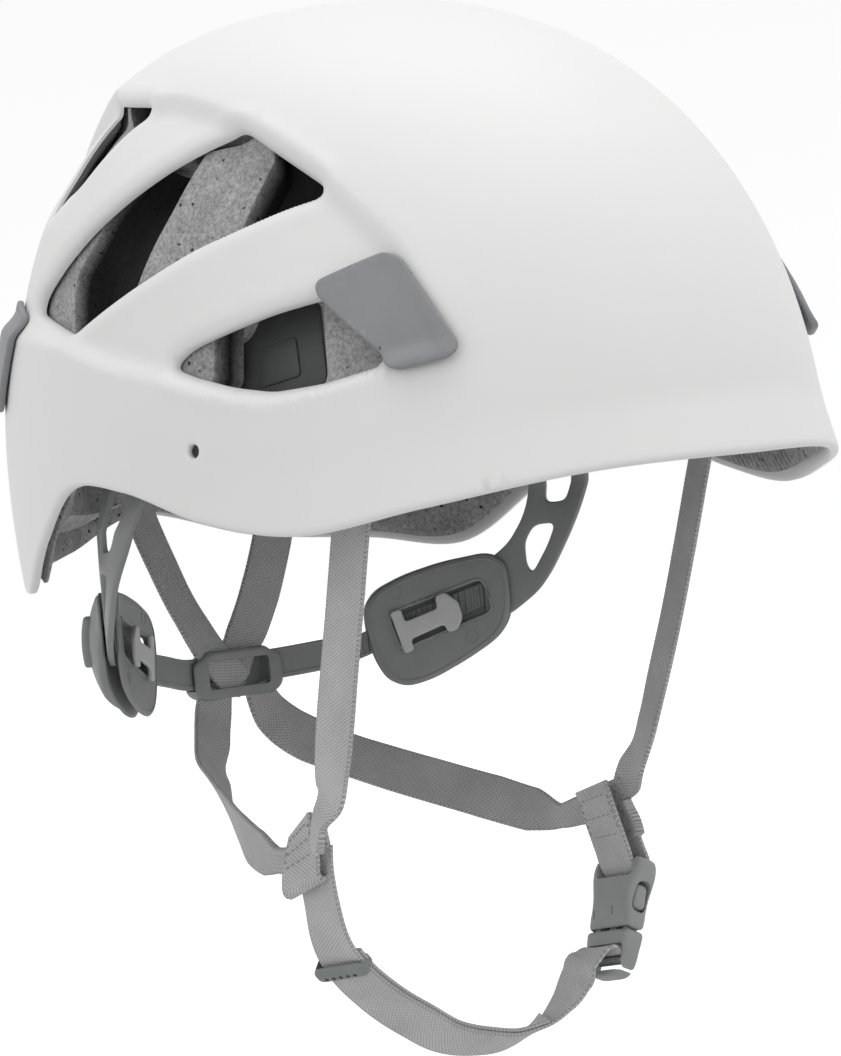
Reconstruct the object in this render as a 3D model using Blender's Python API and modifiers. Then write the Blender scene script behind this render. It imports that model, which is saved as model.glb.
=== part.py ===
"""Climbing helmet: hard shell with side vents, foam liners, lamp clips,
rear cradle with two adjuster pads, and webbing harness with chin buckle.

Frame: +Z up, the wearer looks along -Y, the wearer's right is -X.
Origin: middle of the helmet at brow height (centre of the wearer's head).
Lengths in the constants are millimetres; MM turns them into metres.
"""
import math
import bpy
import bmesh
import numpy as np
from mathutils import Matrix, Vector

MM = 0.001

# ------------------------------------------------------------------ driving dimensions (mm)
HALF_WIDTH = 105.0          # shell half width at its widest section
HALF_FRONT = 137.7          # centre to brow
HALF_REAR = 133.8           # centre to nape
CROWN = 144.0               # crown above the section plane
SWEEP_BACK = 11.0           # crown shift towards the rear
PITCH = math.radians(-7.9)  # section plane leans down at the front of the head form
Q_SIDE, Q_FRONT, Q_REAR = 2.57, 2.17, 1.94
FLARE_SIDE, FLARE_FRONT, FLARE_REAR = -0.023, -0.129, 0.037
# rim height against the angle from the brow (degrees): brow, temple, ear lobe, arch, nape tips, nape
RIM_ANGLE = (0, 20, 40, 58, 74, 90, 104, 118, 132, 146, 162, 180)
RIM_HEIGHT = (-16.8, -15.8, -17.0, -17.0, -7.0, 7.2, 12.8, -0.1, -10.9, -2.6, 4.6, 16.6)
SHELL_WALL = 3.0
FLANK_RECESS = 3.4          # flank panels sit below the crown panel
LINER_GAP = 1.4
SIDE_LINER = 12.0
CROWN_LINER = 20.0
LINER_SPLIT = 92.0          # height where the two foams meet (section frame)
WEB_WIDTH = 15.0
WEB_THICK = 1.5
BAND_HEIGHT = 9.5
BAND_THICK = 1.6
ARM_THICK = 2.0
PAD_THICK = 5.0
GUIDE_SIZE = (35.0, 6.4, 15.0)
PIVOT = (20.0, 20.0)        # Y and Z of the cradle hinge
BUCKLE_TRAVEL = 28.0

# ------------------------------------------------------------------ scene set-up
for ob in list(bpy.data.objects):
    bpy.data.objects.remove(ob, do_unlink=True)
scene = bpy.context.scene
PARTS = bpy.data.collections.new("climbing_helmet")
CUTTERS = bpy.data.collections.new("cutters")
scene.collection.children.link(PARTS)
scene.collection.children.link(CUTTERS)


def material(name, rgb, rough, metal=0.0):
    m = bpy.data.materials.get(name)
    if m:
        return m
    m = bpy.data.materials.new(name)
    m.use_nodes = True
    b = m.node_tree.nodes["Principled BSDF"]
    b.inputs["Base Color"].default_value = (*rgb, 1)
    b.inputs["Roughness"].default_value = rough
    b.inputs["Metallic"].default_value = metal
    return m


WHITE = ("shell_white", (0.82, 0.82, 0.81), 0.42)
CLIPG = ("clip_grey", (0.24, 0.245, 0.25), 0.5)
NYLON = ("nylon_grey", (0.12, 0.13, 0.127), 0.45)
LOCKG = ("lock_light_grey", (0.37, 0.37, 0.37), 0.5)
WEBF = ("webbing_light", (0.38, 0.38, 0.38), 0.9)
WEBR = ("webbing_dark", (0.2, 0.2, 0.2), 0.9)
EPS = ("eps_foam", (0.05, 0.05, 0.052), 0.85)
EPP = ("epp_foam", (0.09, 0.09, 0.095), 0.85)
PADF = ("pad_fabric", (0.045, 0.045, 0.05), 0.95)
BUCK = ("buckle_grey", (0.19, 0.2, 0.2), 0.4)
KEEP = ("keeper_grey", (0.21, 0.23, 0.225), 0.4)
PINM = ("pivot_nylon", (0.1, 0.1, 0.1), 0.4)


def link(ob, coll, mat=None):
    coll.objects.link(ob)
    if mat:
        ob.data.materials.clear()
        ob.data.materials.append(material(*mat))
    return ob


def mesh_object(name, verts, faces, mat, coll=None, origin=None):
    """Closed or open surface from points in mm; origin in mm."""
    o = np.array(origin if origin is not None else (0, 0, 0), float)
    me = bpy.data.meshes.new(name)
    me.from_pydata([tuple((np.array(v, float) - o) * MM) for v in verts], [], [tuple(f) for f in faces])
    me.update()
    bm = bmesh.new()
    bm.from_mesh(me)
    bmesh.ops.recalc_face_normals(bm, faces=bm.faces)
    bm.to_mesh(me)
    bm.free()
    ob = bpy.data.objects.new(name, me)
    ob.location = tuple(o * MM)
    link(ob, coll or PARTS, mat)
    return ob


def as_cutter(ob):
    ob.hide_render = True
    ob.display_type = 'WIRE'
    for c in list(ob.users_collection):
        c.objects.unlink(ob)
    CUTTERS.objects.link(ob)
    return ob


def cut(ob, cutter, op='DIFFERENCE'):
    m = ob.modifiers.new(op.lower() + "_" + cutter.name, 'BOOLEAN')
    m.operation = op
    m.solver = 'EXACT'
    m.object = cutter
    return ob


def solidify(ob, thickness, offset=-1.0):
    m = ob.modifiers.new("wall", 'SOLIDIFY')
    m.thickness = thickness * MM
    m.offset = offset
    m.use_even_offset = True
    m.use_quality_normals = True
    return ob


def spline(xs, ys, clamp=True):
    """Smooth curve through the points (Hermite with central slopes)."""
    xs = np.array(xs, float)
    ys = np.array(ys, float)
    m = np.gradient(ys, xs, axis=0)
    if clamp:
        m[0] = 0
        m[-1] = 0

    def f(x):
        x = np.clip(np.asarray(x, float), xs[0], xs[-1])
        i = np.clip(np.searchsorted(xs, x, side='right') - 1, 0, len(xs) - 2)
        h = xs[i + 1] - xs[i]
        t = (x - xs[i]) / h
        if ys.ndim > 1:
            h = h[..., None]
            t = t[..., None]
        return ((2 * t**3 - 3 * t**2 + 1) * ys[i] + (t**3 - 2 * t**2 + t) * h * m[i]
                + (-2 * t**3 + 3 * t**2) * ys[i + 1] + (t**3 - t**2) * h * m[i + 1])
    return f


rim_height = spline(RIM_ANGLE, RIM_HEIGHT)


def smooth(e0, e1, x):
    t = np.clip((x - e0) / (e1 - e0), 0, 1)
    return t * t * (3 - 2 * t)


# crown panel half width along the helmet, and the lower edge of the flank recess
PANEL_Y = (-115, -106, -95, -85, -74, -65, -51, -24, -5, 34, 46, 62, 82, 104, 135)
PANEL_X = (60, 62.4, 66, 67.7, 70.2, 71.4, 72.4, 73, 72, 66.5, 58, 50, 44, 40, 37)
STEP_Y = (-115, -100, -94, -83, -69, -53.5, -36, -16, 2, 30, 60, 83, 105, 140)
STEP_Z = (36, 34.5, 33.8, 31.4, 27.7, 26, 29.8, 35.7, 40, 48, 53, 57, 60, 62)
panel_half = spline(PANEL_Y, PANEL_X, False)
step_height = spline(STEP_Y, STEP_Z, False)


def section(phi, s):
    """Point on the dome: phi from the brow (right side positive), s from rim 0 to crown 1."""
    phi = np.asarray(phi, float)
    s = np.asarray(s, float)
    c, sn = np.cos(phi), np.sin(phi)
    b = np.where(c > 0, HALF_FRONT, HALF_REAR)
    r = 1.0 / np.sqrt((sn / HALF_WIDTH) ** 2 + (c / b) ** 2)
    q = np.where(c > 0, Q_FRONT, Q_REAR) * c**2 + Q_SIDE * sn**2
    fl = np.where(c > 0, FLARE_FRONT, FLARE_REAR) * c**2 + FLARE_SIDE * sn**2
    ph = np.degrees(np.abs(((phi + np.pi) % (2 * np.pi)) - np.pi))
    z = CROWN * np.sin(np.clip(s, 0, 1) * np.pi / 2) ** (2 / q) + rim_height(ph) * (1 - s) ** 6
    zz = np.clip(z / CROWN, 0, 1)
    g = np.where(z < 0, 1 + fl * z / 100.0, np.maximum(1 - zz**q, 0) ** (1 / q))
    x = -r * g * sn
    y = -r * g * c + SWEEP_BACK * zz**2
    cp, sp = math.cos(PITCH), math.sin(PITCH)
    return np.stack([x, y * cp - z * sp, y * sp + z * cp], -1)


def dome_normal(phi, s):
    s = np.minimum(np.asarray(s, float), 0.985)
    s = np.maximum(s, 0.004)
    e = 1e-3
    a = section(phi + e, s) - section(phi - e, s)
    b = section(phi, np.minimum(s + e, 1)) - section(phi, s - e)
    n = np.cross(b, a)
    n /= np.linalg.norm(n, axis=-1, keepdims=True) + 1e-12
    out = section(phi, s) - np.array([0, 0, 10.0])
    return n * np.sign((n * out).sum(-1))[..., None]


def recess(p, width=4.0):
    """Depth of the flank panels below the crown panel at point p."""
    x, y, z = np.abs(p[..., 0]), p[..., 1], p[..., 2]
    a = smooth(0, width, x - panel_half(y))
    b = smooth(0, width * 1.5, z - step_height(y))
    fade = smooth(-108, -92, y) * (1 - smooth(96, 118, y))
    return FLANK_RECESS * a * b * fade


def dome(phi, s, depth=0.0, with_recess=True, width=4.0):
    p = section(phi, s)
    n = dome_normal(phi, s)
    d = np.asarray(depth, float) + (recess(p, width) if with_recess else 0.0)
    return p - n * np.broadcast_to(d, p.shape[:-1])[..., None]


def band_surface(name, rows, nphi, depth, mat, width=4.0):
    """Open surface through rows of constant s; closed over the crown when the last row is 1."""
    phis = np.linspace(-np.pi, np.pi, nphi + 1)[:-1]
    closed = rows[-1] >= 1.0
    verts, faces = [], []
    body = rows[:-1] if closed else rows
    for s in body:
        verts.extend(dome(phis, np.full(nphi, s), depth, True, width).tolist())
    for j in range(len(body) - 1):
        for i in range(nphi):
            k = (i + 1) % nphi
            faces.append((j * nphi + i, j * nphi + k, (j + 1) * nphi + k, (j + 1) * nphi + i))
    if closed:
        verts.append(dome(np.array([0.0]), np.array([1.0]), depth)[0].tolist())
        top = len(verts) - 1
        base = (len(body) - 1) * nphi
        for i in range(nphi):
            faces.append((base + i, base + (i + 1) % nphi, top))
    ob = mesh_object(name, verts, faces, mat)
    bm = bmesh.new()
    bm.from_mesh(ob.data)
    c = bm.faces[:][len(bm.faces) // 2]
    out = c.calc_center_median() - Vector((0, 0, 0.02))
    if c.normal.dot(out) < 0:
        bmesh.ops.reverse_faces(bm, faces=bm.faces)
    bm.to_mesh(ob.data)
    bm.free()
    return ob


def s_at_height(phi, z):
    """Parameter s where the dome's section height is z."""
    s = np.linspace(0, 1, 400)
    p = section(np.full(400, phi), s)
    cp, sp = math.cos(PITCH), math.sin(PITCH)
    h = -p[:, 1] * sp + p[:, 2] * cp
    return float(np.interp(z, h, s))


def side_solve(y, z, depth):
    """Right-side surface point (x < 0) at given y, z and depth below the shell surface."""
    y = np.atleast_1d(np.asarray(y, float))
    z = np.atleast_1d(np.asarray(z, float))
    phi = np.arctan2(np.full_like(y, 100.0), -(y * 0.8))
    s = np.clip((z + 15) / 170.0, 0.05, 0.9)
    for _ in range(30):
        p = dome(phi, s, depth)
        r = p[:, 1:] - np.stack([y, z], -1)
        e = 1e-3
        a = (dome(phi + e, s, depth)[:, 1:] - p[:, 1:]) / e
        b = (dome(phi, s + e, depth)[:, 1:] - p[:, 1:]) / e
        det = a[:, 0] * b[:, 1] - a[:, 1] * b[:, 0]
        det = np.where(np.abs(det) < 1e-6, 1e-6, det)
        dphi = (r[:, 0] * b[:, 1] - r[:, 1] * b[:, 0]) / det
        ds = (a[:, 0] * r[:, 1] - a[:, 1] * r[:, 0]) / det
        phi = np.clip(phi - np.clip(dphi, -0.15, 0.15), 0.15, np.pi - 0.1)
        s = np.clip(s - np.clip(ds, -0.06, 0.06), 0.0, 0.97)
    return dome(phi, s, depth), dome_normal(phi, s)


# ------------------------------------------------------------------ helper solids
def outline_prism(name, pts2d, x0, x1, mat=CLIPG):
    """Outline in the Y-Z plane (mm) extruded along X between x0 and x1: a flat 2D curve made into a mesh."""
    cu = bpy.data.curves.new(name, 'CURVE')
    cu.dimensions = '2D'
    cu.fill_mode = 'BOTH'
    cu.extrude = abs(x1 - x0) * MM / 2
    sp = cu.splines.new('POLY')
    sp.points.add(len(pts2d) - 1)
    for p, q in zip(sp.points, pts2d):
        p.co = (q[0] * MM, q[1] * MM, 0, 1)
    sp.use_cyclic_u = True
    ob = bpy.data.objects.new(name + "_outline", cu)
    PARTS.objects.link(ob)
    # curve plane XY -> world YZ
    ob.matrix_world = Matrix(((0, 0, 1, (x0 + x1) / 2 * MM), (1, 0, 0, 0), (0, 1, 0, 0), (0, 0, 0, 1)))
    bpy.context.view_layer.update()
    dg = bpy.context.evaluated_depsgraph_get()
    me = bpy.data.meshes.new_from_object(ob.evaluated_get(dg))
    me.name = name
    me.transform(ob.matrix_world)
    bpy.data.objects.remove(ob, do_unlink=True)
    bm = bmesh.new()
    bm.from_mesh(me)
    bmesh.ops.remove_doubles(bm, verts=bm.verts, dist=1e-5)
    bmesh.ops.recalc_face_normals(bm, faces=bm.faces)
    bm.to_mesh(me)
    bm.free()
    res = bpy.data.objects.new(name, me)
    link(res, PARTS, mat)
    return res


def rounded(pts, r, n=4):
    """Round the corners of a closed polygon with radius r (mm)."""
    pts = [np.array(p, float) for p in pts]
    out = []
    m = len(pts)
    for i in range(m):
        a, b, c = pts[i - 1], pts[i], pts[(i + 1) % m]
        rr = r[i] if isinstance(r, (list, tuple)) else r
        u = (a - b) / np.linalg.norm(a - b)
        v = (c - b) / np.linalg.norm(c - b)
        d = min(rr, 0.45 * np.linalg.norm(a - b), 0.45 * np.linalg.norm(c - b))
        p0, p2 = b + u * d, b + v * d
        for k in range(n + 1):
            t = k / n
            out.append((1 - t) ** 2 * p0 + 2 * t * (1 - t) * b + t * t * p2)
    return out


def block(name, size, frame, mat=BUCK, bevel=0.0, segs=2, origin=None):
    """Box of size (mm) in a frame (4x4, mm)."""
    bm = bmesh.new()
    bmesh.ops.create_cube(bm, size=1.0)
    bmesh.ops.scale(bm, vec=[v * MM for v in size], verts=bm.verts)
    if bevel:
        bmesh.ops.bevel(bm, geom=bm.edges[:], offset=bevel * MM, segments=segs, affect='EDGES', profile=0.5)
    me = bpy.data.meshes.new(name)
    bm.to_mesh(me)
    bm.free()
    f = frame.copy()
    f.translation = f.translation * MM
    if origin is not None:
        o = Matrix.Translation(Vector(origin) * MM)
        me.transform(o.inverted() @ f)
        ob = bpy.data.objects.new(name, me)
        ob.location = Vector(origin) * MM
    else:
        me.transform(f)
        ob = bpy.data.objects.new(name, me)
    link(ob, PARTS, mat)
    return ob


def rod(name, radius, depth, frame, mat=PINM, segs=20):
    bm = bmesh.new()
    bmesh.ops.create_cone(bm, cap_ends=True, segments=segs, radius1=radius * MM, radius2=radius * MM, depth=depth * MM)
    me = bpy.data.meshes.new(name)
    bm.to_mesh(me)
    bm.free()
    f = frame.copy()
    f.translation = f.translation * MM
    me.transform(f)
    ob = bpy.data.objects.new(name, me)
    link(ob, PARTS, mat)
    return ob


def join_union(base, others):
    for o in others:
        cut(base, as_cutter(o), 'UNION')
    return base


def frame_from(origin, xdir, ydir):
    x = Vector(xdir).normalized()
    y = Vector(ydir)
    y = (y - x * y.dot(x)).normalized()
    z = x.cross(y)
    m = Matrix.Identity(4)
    for i in range(3):
        m[i][0], m[i][1], m[i][2] = x[i], y[i], z[i]
    m.translation = Vector(origin)
    return m


def webbing(name, path, widths, mat, width=WEB_WIDTH, thick=WEB_THICK, n=20, coll=None, origin=None, turn=None):
    """Flat webbing: a rectangular section carried along a smooth path, its width direction given at each path point."""
    path = np.array(path, float)
    widths = np.array(widths, float)
    if widths.ndim == 1:
        widths = np.repeat(widths[None], len(path), 0)
    L = np.r_[0, np.cumsum(np.linalg.norm(np.diff(path, axis=0), axis=1))]
    t = np.linspace(0, L[-1], n)
    if turn:                      # finer steps round the tight turn at the end
        t = np.r_[np.linspace(0, L[turn], n - 16)[:-1], np.linspace(L[turn], L[-1], 17)]
    P = spline(L, path, False)(t)
    W = spline(L, widths, False)(t)
    T = np.gradient(P, t, axis=0)
    T /= np.linalg.norm(T, axis=1, keepdims=True)
    W -= T * (W * T).sum(1, keepdims=True)
    W /= np.linalg.norm(W, axis=1, keepdims=True)
    N = np.cross(T, W)
    wd = np.broadcast_to(np.asarray(width, float), (n,)) if np.ndim(width) == 0 else spline(L, width, False)(t)
    verts = []
    for i in range(n):
        for a, b in ((-1, -1), (1, -1), (1, 1), (-1, 1)):
            verts.append(P[i] + W[i] * a * wd[i] / 2 + N[i] * b * thick / 2)
    faces = []
    for i in range(n - 1):
        for j in range(4):
            k = (j + 1) % 4
            faces.append((i * 4 + j, i * 4 + k, (i + 1) * 4 + k, (i + 1) * 4 + j))
    faces.append((3, 2, 1, 0))
    e = (n - 1) * 4
    faces.append((e, e + 1, e + 2, e + 3))
    return mesh_object(name, verts, faces, mat, coll, origin)


def mirror_x(pts):
    return [(-p[0], p[1], p[2]) for p in pts]


# ------------------------------------------------------------------ outer shell
VENT_LARGE = [(-30, 104), (-61, 86), (-60.5, 82.8), (-52, 80.8), (-38, 76.4), (-23, 71.8), (-2, 63.9), (28, 52.6),
              (55.5, 61.2), (52, 65), (37, 73.4), (23, 81), (8, 88.5), (-6, 95), (-18, 99.8)]
VENT_LOWER = [(-20, 40), (-26, 43.8), (-40.5, 47.8), (-53, 51.2), (-68.5, 54), (-84.5, 35), (-69, 31.6), (-53.6, 30.6), (-40.7, 33),
              (-26, 37.2)]
VENT_SLOT = [(34, 120.5), (12, 117), (12.2, 114.2), (20, 110), (26.6, 105), (38, 97.4), (55.6, 89.6), (53, 95.5), (48, 104), (42.8, 111.4)]
EDGE_HOLE = (-30.3, 16.6)   # small round hole above the ear lobe

N_AROUND = 52
S_ROWS = [j / 14 for j in range(15)]
shell = band_surface("outer_shell", S_ROWS, N_AROUND, 0.0, WHITE, 6.0)
solidify(shell, SHELL_WALL, -1.0)
for nm, pts, r in (("large", VENT_LARGE, 3.0), ("lower", VENT_LOWER, 2.4), ("slot", VENT_SLOT, 2.0)):
    for side, x0, x1 in (("right", -125, -35), ("left", 35, 125)):
        c = as_cutter(outline_prism("vent_" + nm + "_" + side, rounded(pts, r, 2), x0, x1))
        cut(shell, c)
for side, x in (("right", -102.0), ("left", 102.0)):
    f = Matrix.Translation(Vector((x, EDGE_HOLE[0], EDGE_HOLE[1]))) @ Matrix.Rotation(math.pi / 2, 4, 'Y')
    cut(shell, as_cutter(rod("rivet_hole_" + side, 1.9, 24, f, WHITE, 12)))

# ------------------------------------------------------------------ foam liners
DEPTH0 = SHELL_WALL + LINER_GAP


side_liner = band_surface("side_liner", [0.052] + S_ROWS[2:7] + [0.441], N_AROUND, DEPTH0, EPP, 6.0)
solidify(side_liner, SIDE_LINER, -1.0)
crown_liner = band_surface("crown_liner", [0.459] + S_ROWS[7:], N_AROUND, DEPTH0 + 0.25, EPS, 6.0)
solidify(crown_liner, CROWN_LINER, -1.0)
# air channels right through the foam, between ribs behind the vents
CHANNELS = (("a", (side_liner,), (33, 45, 57, 70)), ("b", (side_liner,), (0, 12, 63, 74)), ("c", (side_liner,), (-58, -36, 30, 50)),
            ("d", (side_liner, crown_liner), (-52, -36, 80, 97)), ("e", (crown_liner,), (24, 40, 99, 113)))
for nm, obs, (y0, y1, z0, z1) in CHANNELS:
    for side, x0, x1 in (("right", -125, -30), ("left", 30, 125)):
        pts = rounded([(y0, z0), (y1, z0), (y1, z1), (y0, z1)], 3, 2)
        c = as_cutter(outline_prism("channel_%s_%s" % (nm, side), pts, x0, x1))
        for ob in obs:
            cut(ob, c)

# ------------------------------------------------------------------ comfort pads
def surface_patch(name, phi0, phi1, s0, s1, nphi, ns, depth, thick, mat):
    verts, faces = [], []
    for j in range(ns + 1):
        for i in range(nphi + 1):
            ph = phi0 + (phi1 - phi0) * i / nphi
            s = s0 + (s1 - s0) * j / ns
            verts.append(dome(np.array([ph]), np.array([s]), depth, True, 8.0)[0])
    for j in range(ns):
        for i in range(nphi):
            a = j * (nphi + 1) + i
            faces.append((a, a + 1, a + nphi + 2, a + nphi + 1))
    ob = mesh_object(name, verts, faces, mat)
    bm = bmesh.new()
    bm.from_mesh(ob.data)
    f = bm.faces[:][len(bm.faces) // 2]
    if f.normal.dot(f.calc_center_median() - Vector((0, 0, 0.02))) < 0:
        bmesh.ops.reverse_faces(bm, faces=bm.faces)
    bm.to_mesh(ob.data)
    bm.free()
    solidify(ob, thick, -1.0)
    return ob


INNER = DEPTH0 + SIDE_LINER + 2.2
surface_patch("brow_pad", math.radians(-36), math.radians(36), 0.062, 0.150, 12, 2, INNER, 6.0, PADF)
surface_patch("crown_pad", math.radians(-60), math.radians(60), 0.80, 0.93, 10, 3, DEPTH0 + CROWN_LINER + 1.2, 6.0, PADF)
surface_patch("rear_pad", math.radians(180 - 20), math.radians(180 + 20), 0.16, 0.30, 8, 3, INNER, 6.0, PADF)

# ------------------------------------------------------------------ lamp clips
CLIP_OUTLINE = [(-68, 59.6), (-82, 65.6), (-85.2, 64), (-93, 52), (-101.8, 38.5), (-101, 35), (-90, 32.8), (-86.5, 34.6), (-68.6, 55.8)]
CLIP_STAND = 4.9            # the band of a head lamp passes under the clip
CLIP_THICK = 2.2


def plate_on_shell(name, outline, stand, thick, mat, mirrored=False, taper=None):
    """Closed plate that follows the shell at a stand-off; outline in Y-Z."""
    pts = rounded(outline, 2.6, 3)
    y = np.array([p[0] for p in pts])
    z = np.array([p[1] for p in pts])
    cy, cz = y.mean(), z.mean()
    rings = [0.0, 0.5, 1.0]
    verts = []
    n = len(pts)
    P, N = side_solve(np.array([cy]), np.array([cz]), 0.0)
    layers = []
    for off in (stand, stand + thick):
        layer = [tuple(P[0] + N[0] * off)]
        for r in rings[1:]:
            p, nn = side_solve(cy + (y - cy) * r, cz + (z - cz) * r, 0.0)
            layer += [tuple(a + b * off) for a, b in zip(p, nn)]
        layers.append(layer)
    verts = layers[0] + layers[1]
    m = len(layers[0])
    faces = []
    for base, flip in ((0, True), (m, False)):
        for i in range(n):
            k = (i + 1) % n
            tri = (base, base + 1 + i, base + 1 + k)
            quad = (base + 1 + i, base + 1 + n + i, base + 1 + n + k, base + 1 + k)
            faces.append(tri[::-1] if flip else tri)
            faces.append(quad[::-1] if flip else quad)
    for i in range(n):
        k = (i + 1) % n
        a, b = 1 + n + i, 1 + n + k
        faces.append((a, b, m + b, m + a))
    if mirrored:
        verts = mirror_x(verts)
    return mesh_object(name, verts, faces, mat)


def foot_on_shell(name, y, z, r, stand, depth, mat, mirrored=False):
    """Short stem that joins a clip plate to the shell."""
    P, N = side_solve(np.array([y]), np.array([z]), 0.0)
    p = Vector(P[0] + N[0] * (stand - depth) / 2 + N[0] * depth / 2)
    a = Vector(P[0] + N[0] * 1.3)
    b = Vector(P[0] + N[0] * stand)
    if mirrored:
        a.x, b.x = -a.x, -b.x
    d = b - a
    q = Vector((0, 0, 1)).rotation_difference(d.normalized())
    f = Matrix.Translation((a + b) / 2) @ q.to_matrix().to_4x4()
    return rod(name, r, d.length, f, mat, 16)


REAR_CLIP = [(60, 60), (75, 65.6), (78, 64), (85, 51), (90.5, 38), (89.6, 34.8), (79, 33), (76, 34.8), (60.6, 56)]
for side, mir in (("right", False), ("left", True)):
    c = plate_on_shell("front_clip_" + side, CLIP_OUTLINE, CLIP_STAND, CLIP_THICK, CLIPG, mir)
    foot = foot_on_shell("front_clip_stem_" + side, -75.5, 57.0, 4.2, CLIP_STAND + 1.0, 1.0, CLIPG, mir)
    join_union(c, [foot])
    c = plate_on_shell("rear_clip_" + side, REAR_CLIP, CLIP_STAND, CLIP_THICK, CLIPG, mir)
    foot = foot_on_shell("rear_clip_stem_" + side, 71.0, 57.5, 4.2, CLIP_STAND + 1.0, 1.0, CLIPG, mir)
    join_union(c, [foot])

# ------------------------------------------------------------------ cradle: plan curve shared by band, pads and arms
PLAN = [(0, 93), (9, 92.6), (17, 90.5), (28, 84.5), (39, 77), (50, 69.5), (58, 63.5), (67, 56), (76, 46.5), (83.4, 35.5),
        (87.2, 25), (88.6, 14), (88.8, 4)]
PLAN_A = np.array(PLAN, float)
PLAN_L = np.r_[0, np.cumsum(np.linalg.norm(np.diff(PLAN_A, axis=0), axis=1))]
plan_xy = spline(PLAN_L, PLAN_A, False)


def cradle_point(u, z, off, side):
    """u along the band from the nape centre, z height, off outwards; side -1 right, +1 left."""
    u = np.atleast_1d(np.asarray(u, float))
    z = np.atleast_1d(np.asarray(z, float))
    au = np.abs(u)
    p = plan_xy(au)
    e = 0.05
    t = plan_xy(au + e) - plan_xy(np.maximum(au - e, 0))
    t /= np.linalg.norm(t, axis=1, keepdims=True) + 1e-12
    n = np.stack([-t[:, 1], t[:, 0]], -1)
    n = np.where(((n * p).sum(1) < 0)[:, None], -n, n)
    lean = -0.34 * np.maximum(0, z + 4) * smooth(94, 108, au)
    o = np.asarray(off, float) + lean
    q = p + n * o[:, None] if np.ndim(o) else p + n * o
    sx = side * np.where(u < 0, -1, 1)
    return np.stack([sx * q[:, 0], q[:, 1], z], -1)


def cradle_plate(name, outline, holes, off0, off1, side, mat, origin=None, subdivide=11.0):
    """Plate with holes drawn in (u, z), given a thickness and bent round the cradle's plan curve."""
    cu = bpy.data.curves.new(name, 'CURVE')
    cu.dimensions = '2D'
    cu.fill_mode = 'BOTH'
    for loop in [outline] + list(holes):
        # extra points along long edges so that the plate can bend
        pts = []
        m = len(loop)
        for i in range(m):
            a = np.array(loop[i], float)
            b = np.array(loop[(i + 1) % m], float)
            k = max(1, int(np.linalg.norm(b - a) / subdivide))
            for j in range(k):
                pts.append(a + (b - a) * j / k)
        sp = cu.splines.new('POLY')
        sp.points.add(len(pts) - 1)
        for p, q in zip(sp.points, pts):
            p.co = (q[0] * MM, q[1] * MM, 0, 1)
        sp.use_cyclic_u = True
    ob = bpy.data.objects.new(name + "_outline", cu)
    PARTS.objects.link(ob)
    bpy.context.view_layer.update()
    dg = bpy.context.evaluated_depsgraph_get()
    me = bpy.data.meshes.new_from_object(ob.evaluated_get(dg))
    bpy.data.objects.remove(ob, do_unlink=True)
    bm = bmesh.new()
    bm.from_mesh(me)
    bmesh.ops.remove_doubles(bm, verts=bm.verts, dist=1e-6)
    # slice across the plate so that its faces are short along the bend
    us = [v.co.x for v in bm.verts]
    u = min(us) + subdivide * MM
    while u < max(us) - 1e-4:
        geom = bm.verts[:] + bm.edges[:] + bm.faces[:]
        bmesh.ops.bisect_plane(bm, geom=geom, plane_co=(u, 0, 0), plane_no=(1, 0, 0), dist=1e-7)
        u += subdivide * MM
    bmesh.ops.triangulate(bm, faces=bm.faces)
    flat = [(v.co.x / MM, v.co.y / MM) for v in bm.verts]
    tris = [[v.index for v in f.verts] for f in bm.faces]
    rim_edges = [(e.verts[0].index, e.verts[1].index) for e in bm.edges if e.is_boundary]
    bm.free()
    bpy.data.meshes.remove(me)
    uu = np.array([p[0] for p in flat])
    zz = np.array([p[1] for p in flat])
    a = cradle_point(uu, zz, off0, side)
    b = cradle_point(uu, zz, off1, side)
    n = len(flat)
    verts = a.tolist() + b.tolist()
    faces = [tuple(f) for f in tris] + [tuple(i + n for i in f[::-1]) for f in tris]
    faces += [(i, j, j + n, i + n) for i, j in rim_edges]
    return mesh_object(name, verts, faces, mat, None, origin)


GUIDE_Z = -52.4
band_mid = spline((0, 16, 30, 43, 50, 92), (-51.6, -51.6, -50.6, -49.2, -46.8, -34.0), False)

# nape band: one flexible strip, toothed inside the pads
BAND_START = 14.6


def band_half(side, sx):
    verts, faces = [], []
    us = np.r_[BAND_START, np.linspace(18, 84, 16)]
    for u in us:
        zc = float(band_mid(u))
        slope = (float(band_mid(u + 1)) - float(band_mid(u - 1))) / 2
        h = BAND_HEIGHT / 2 if u < 43 else 3.4
        c, s = 1 / math.hypot(1, slope), slope / math.hypot(1, slope)
        for zo, off in ((-1, 0), (1, 0), (1, 1), (-1, 1)):
            verts.append(cradle_point(u - zo * h * s, zc + zo * h * c, -BAND_THICK / 2 + off * BAND_THICK, sx)[0])
    n = len(us)
    for i in range(n - 1):
        for j in range(4):
            k = (j + 1) % 4
            faces.append((i * 4 + j, i * 4 + k, (i + 1) * 4 + k, (i + 1) * 4 + j))
    faces.append((3, 2, 1, 0))
    e = (n - 1) * 4
    faces.append((e, e + 1, e + 2, e + 3))
    return mesh_object("nape_band_" + side, verts, faces, NYLON, None, (0, PIVOT[0], PIVOT[1]))


band_half("right", -1)
band_half("left", 1)

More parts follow.
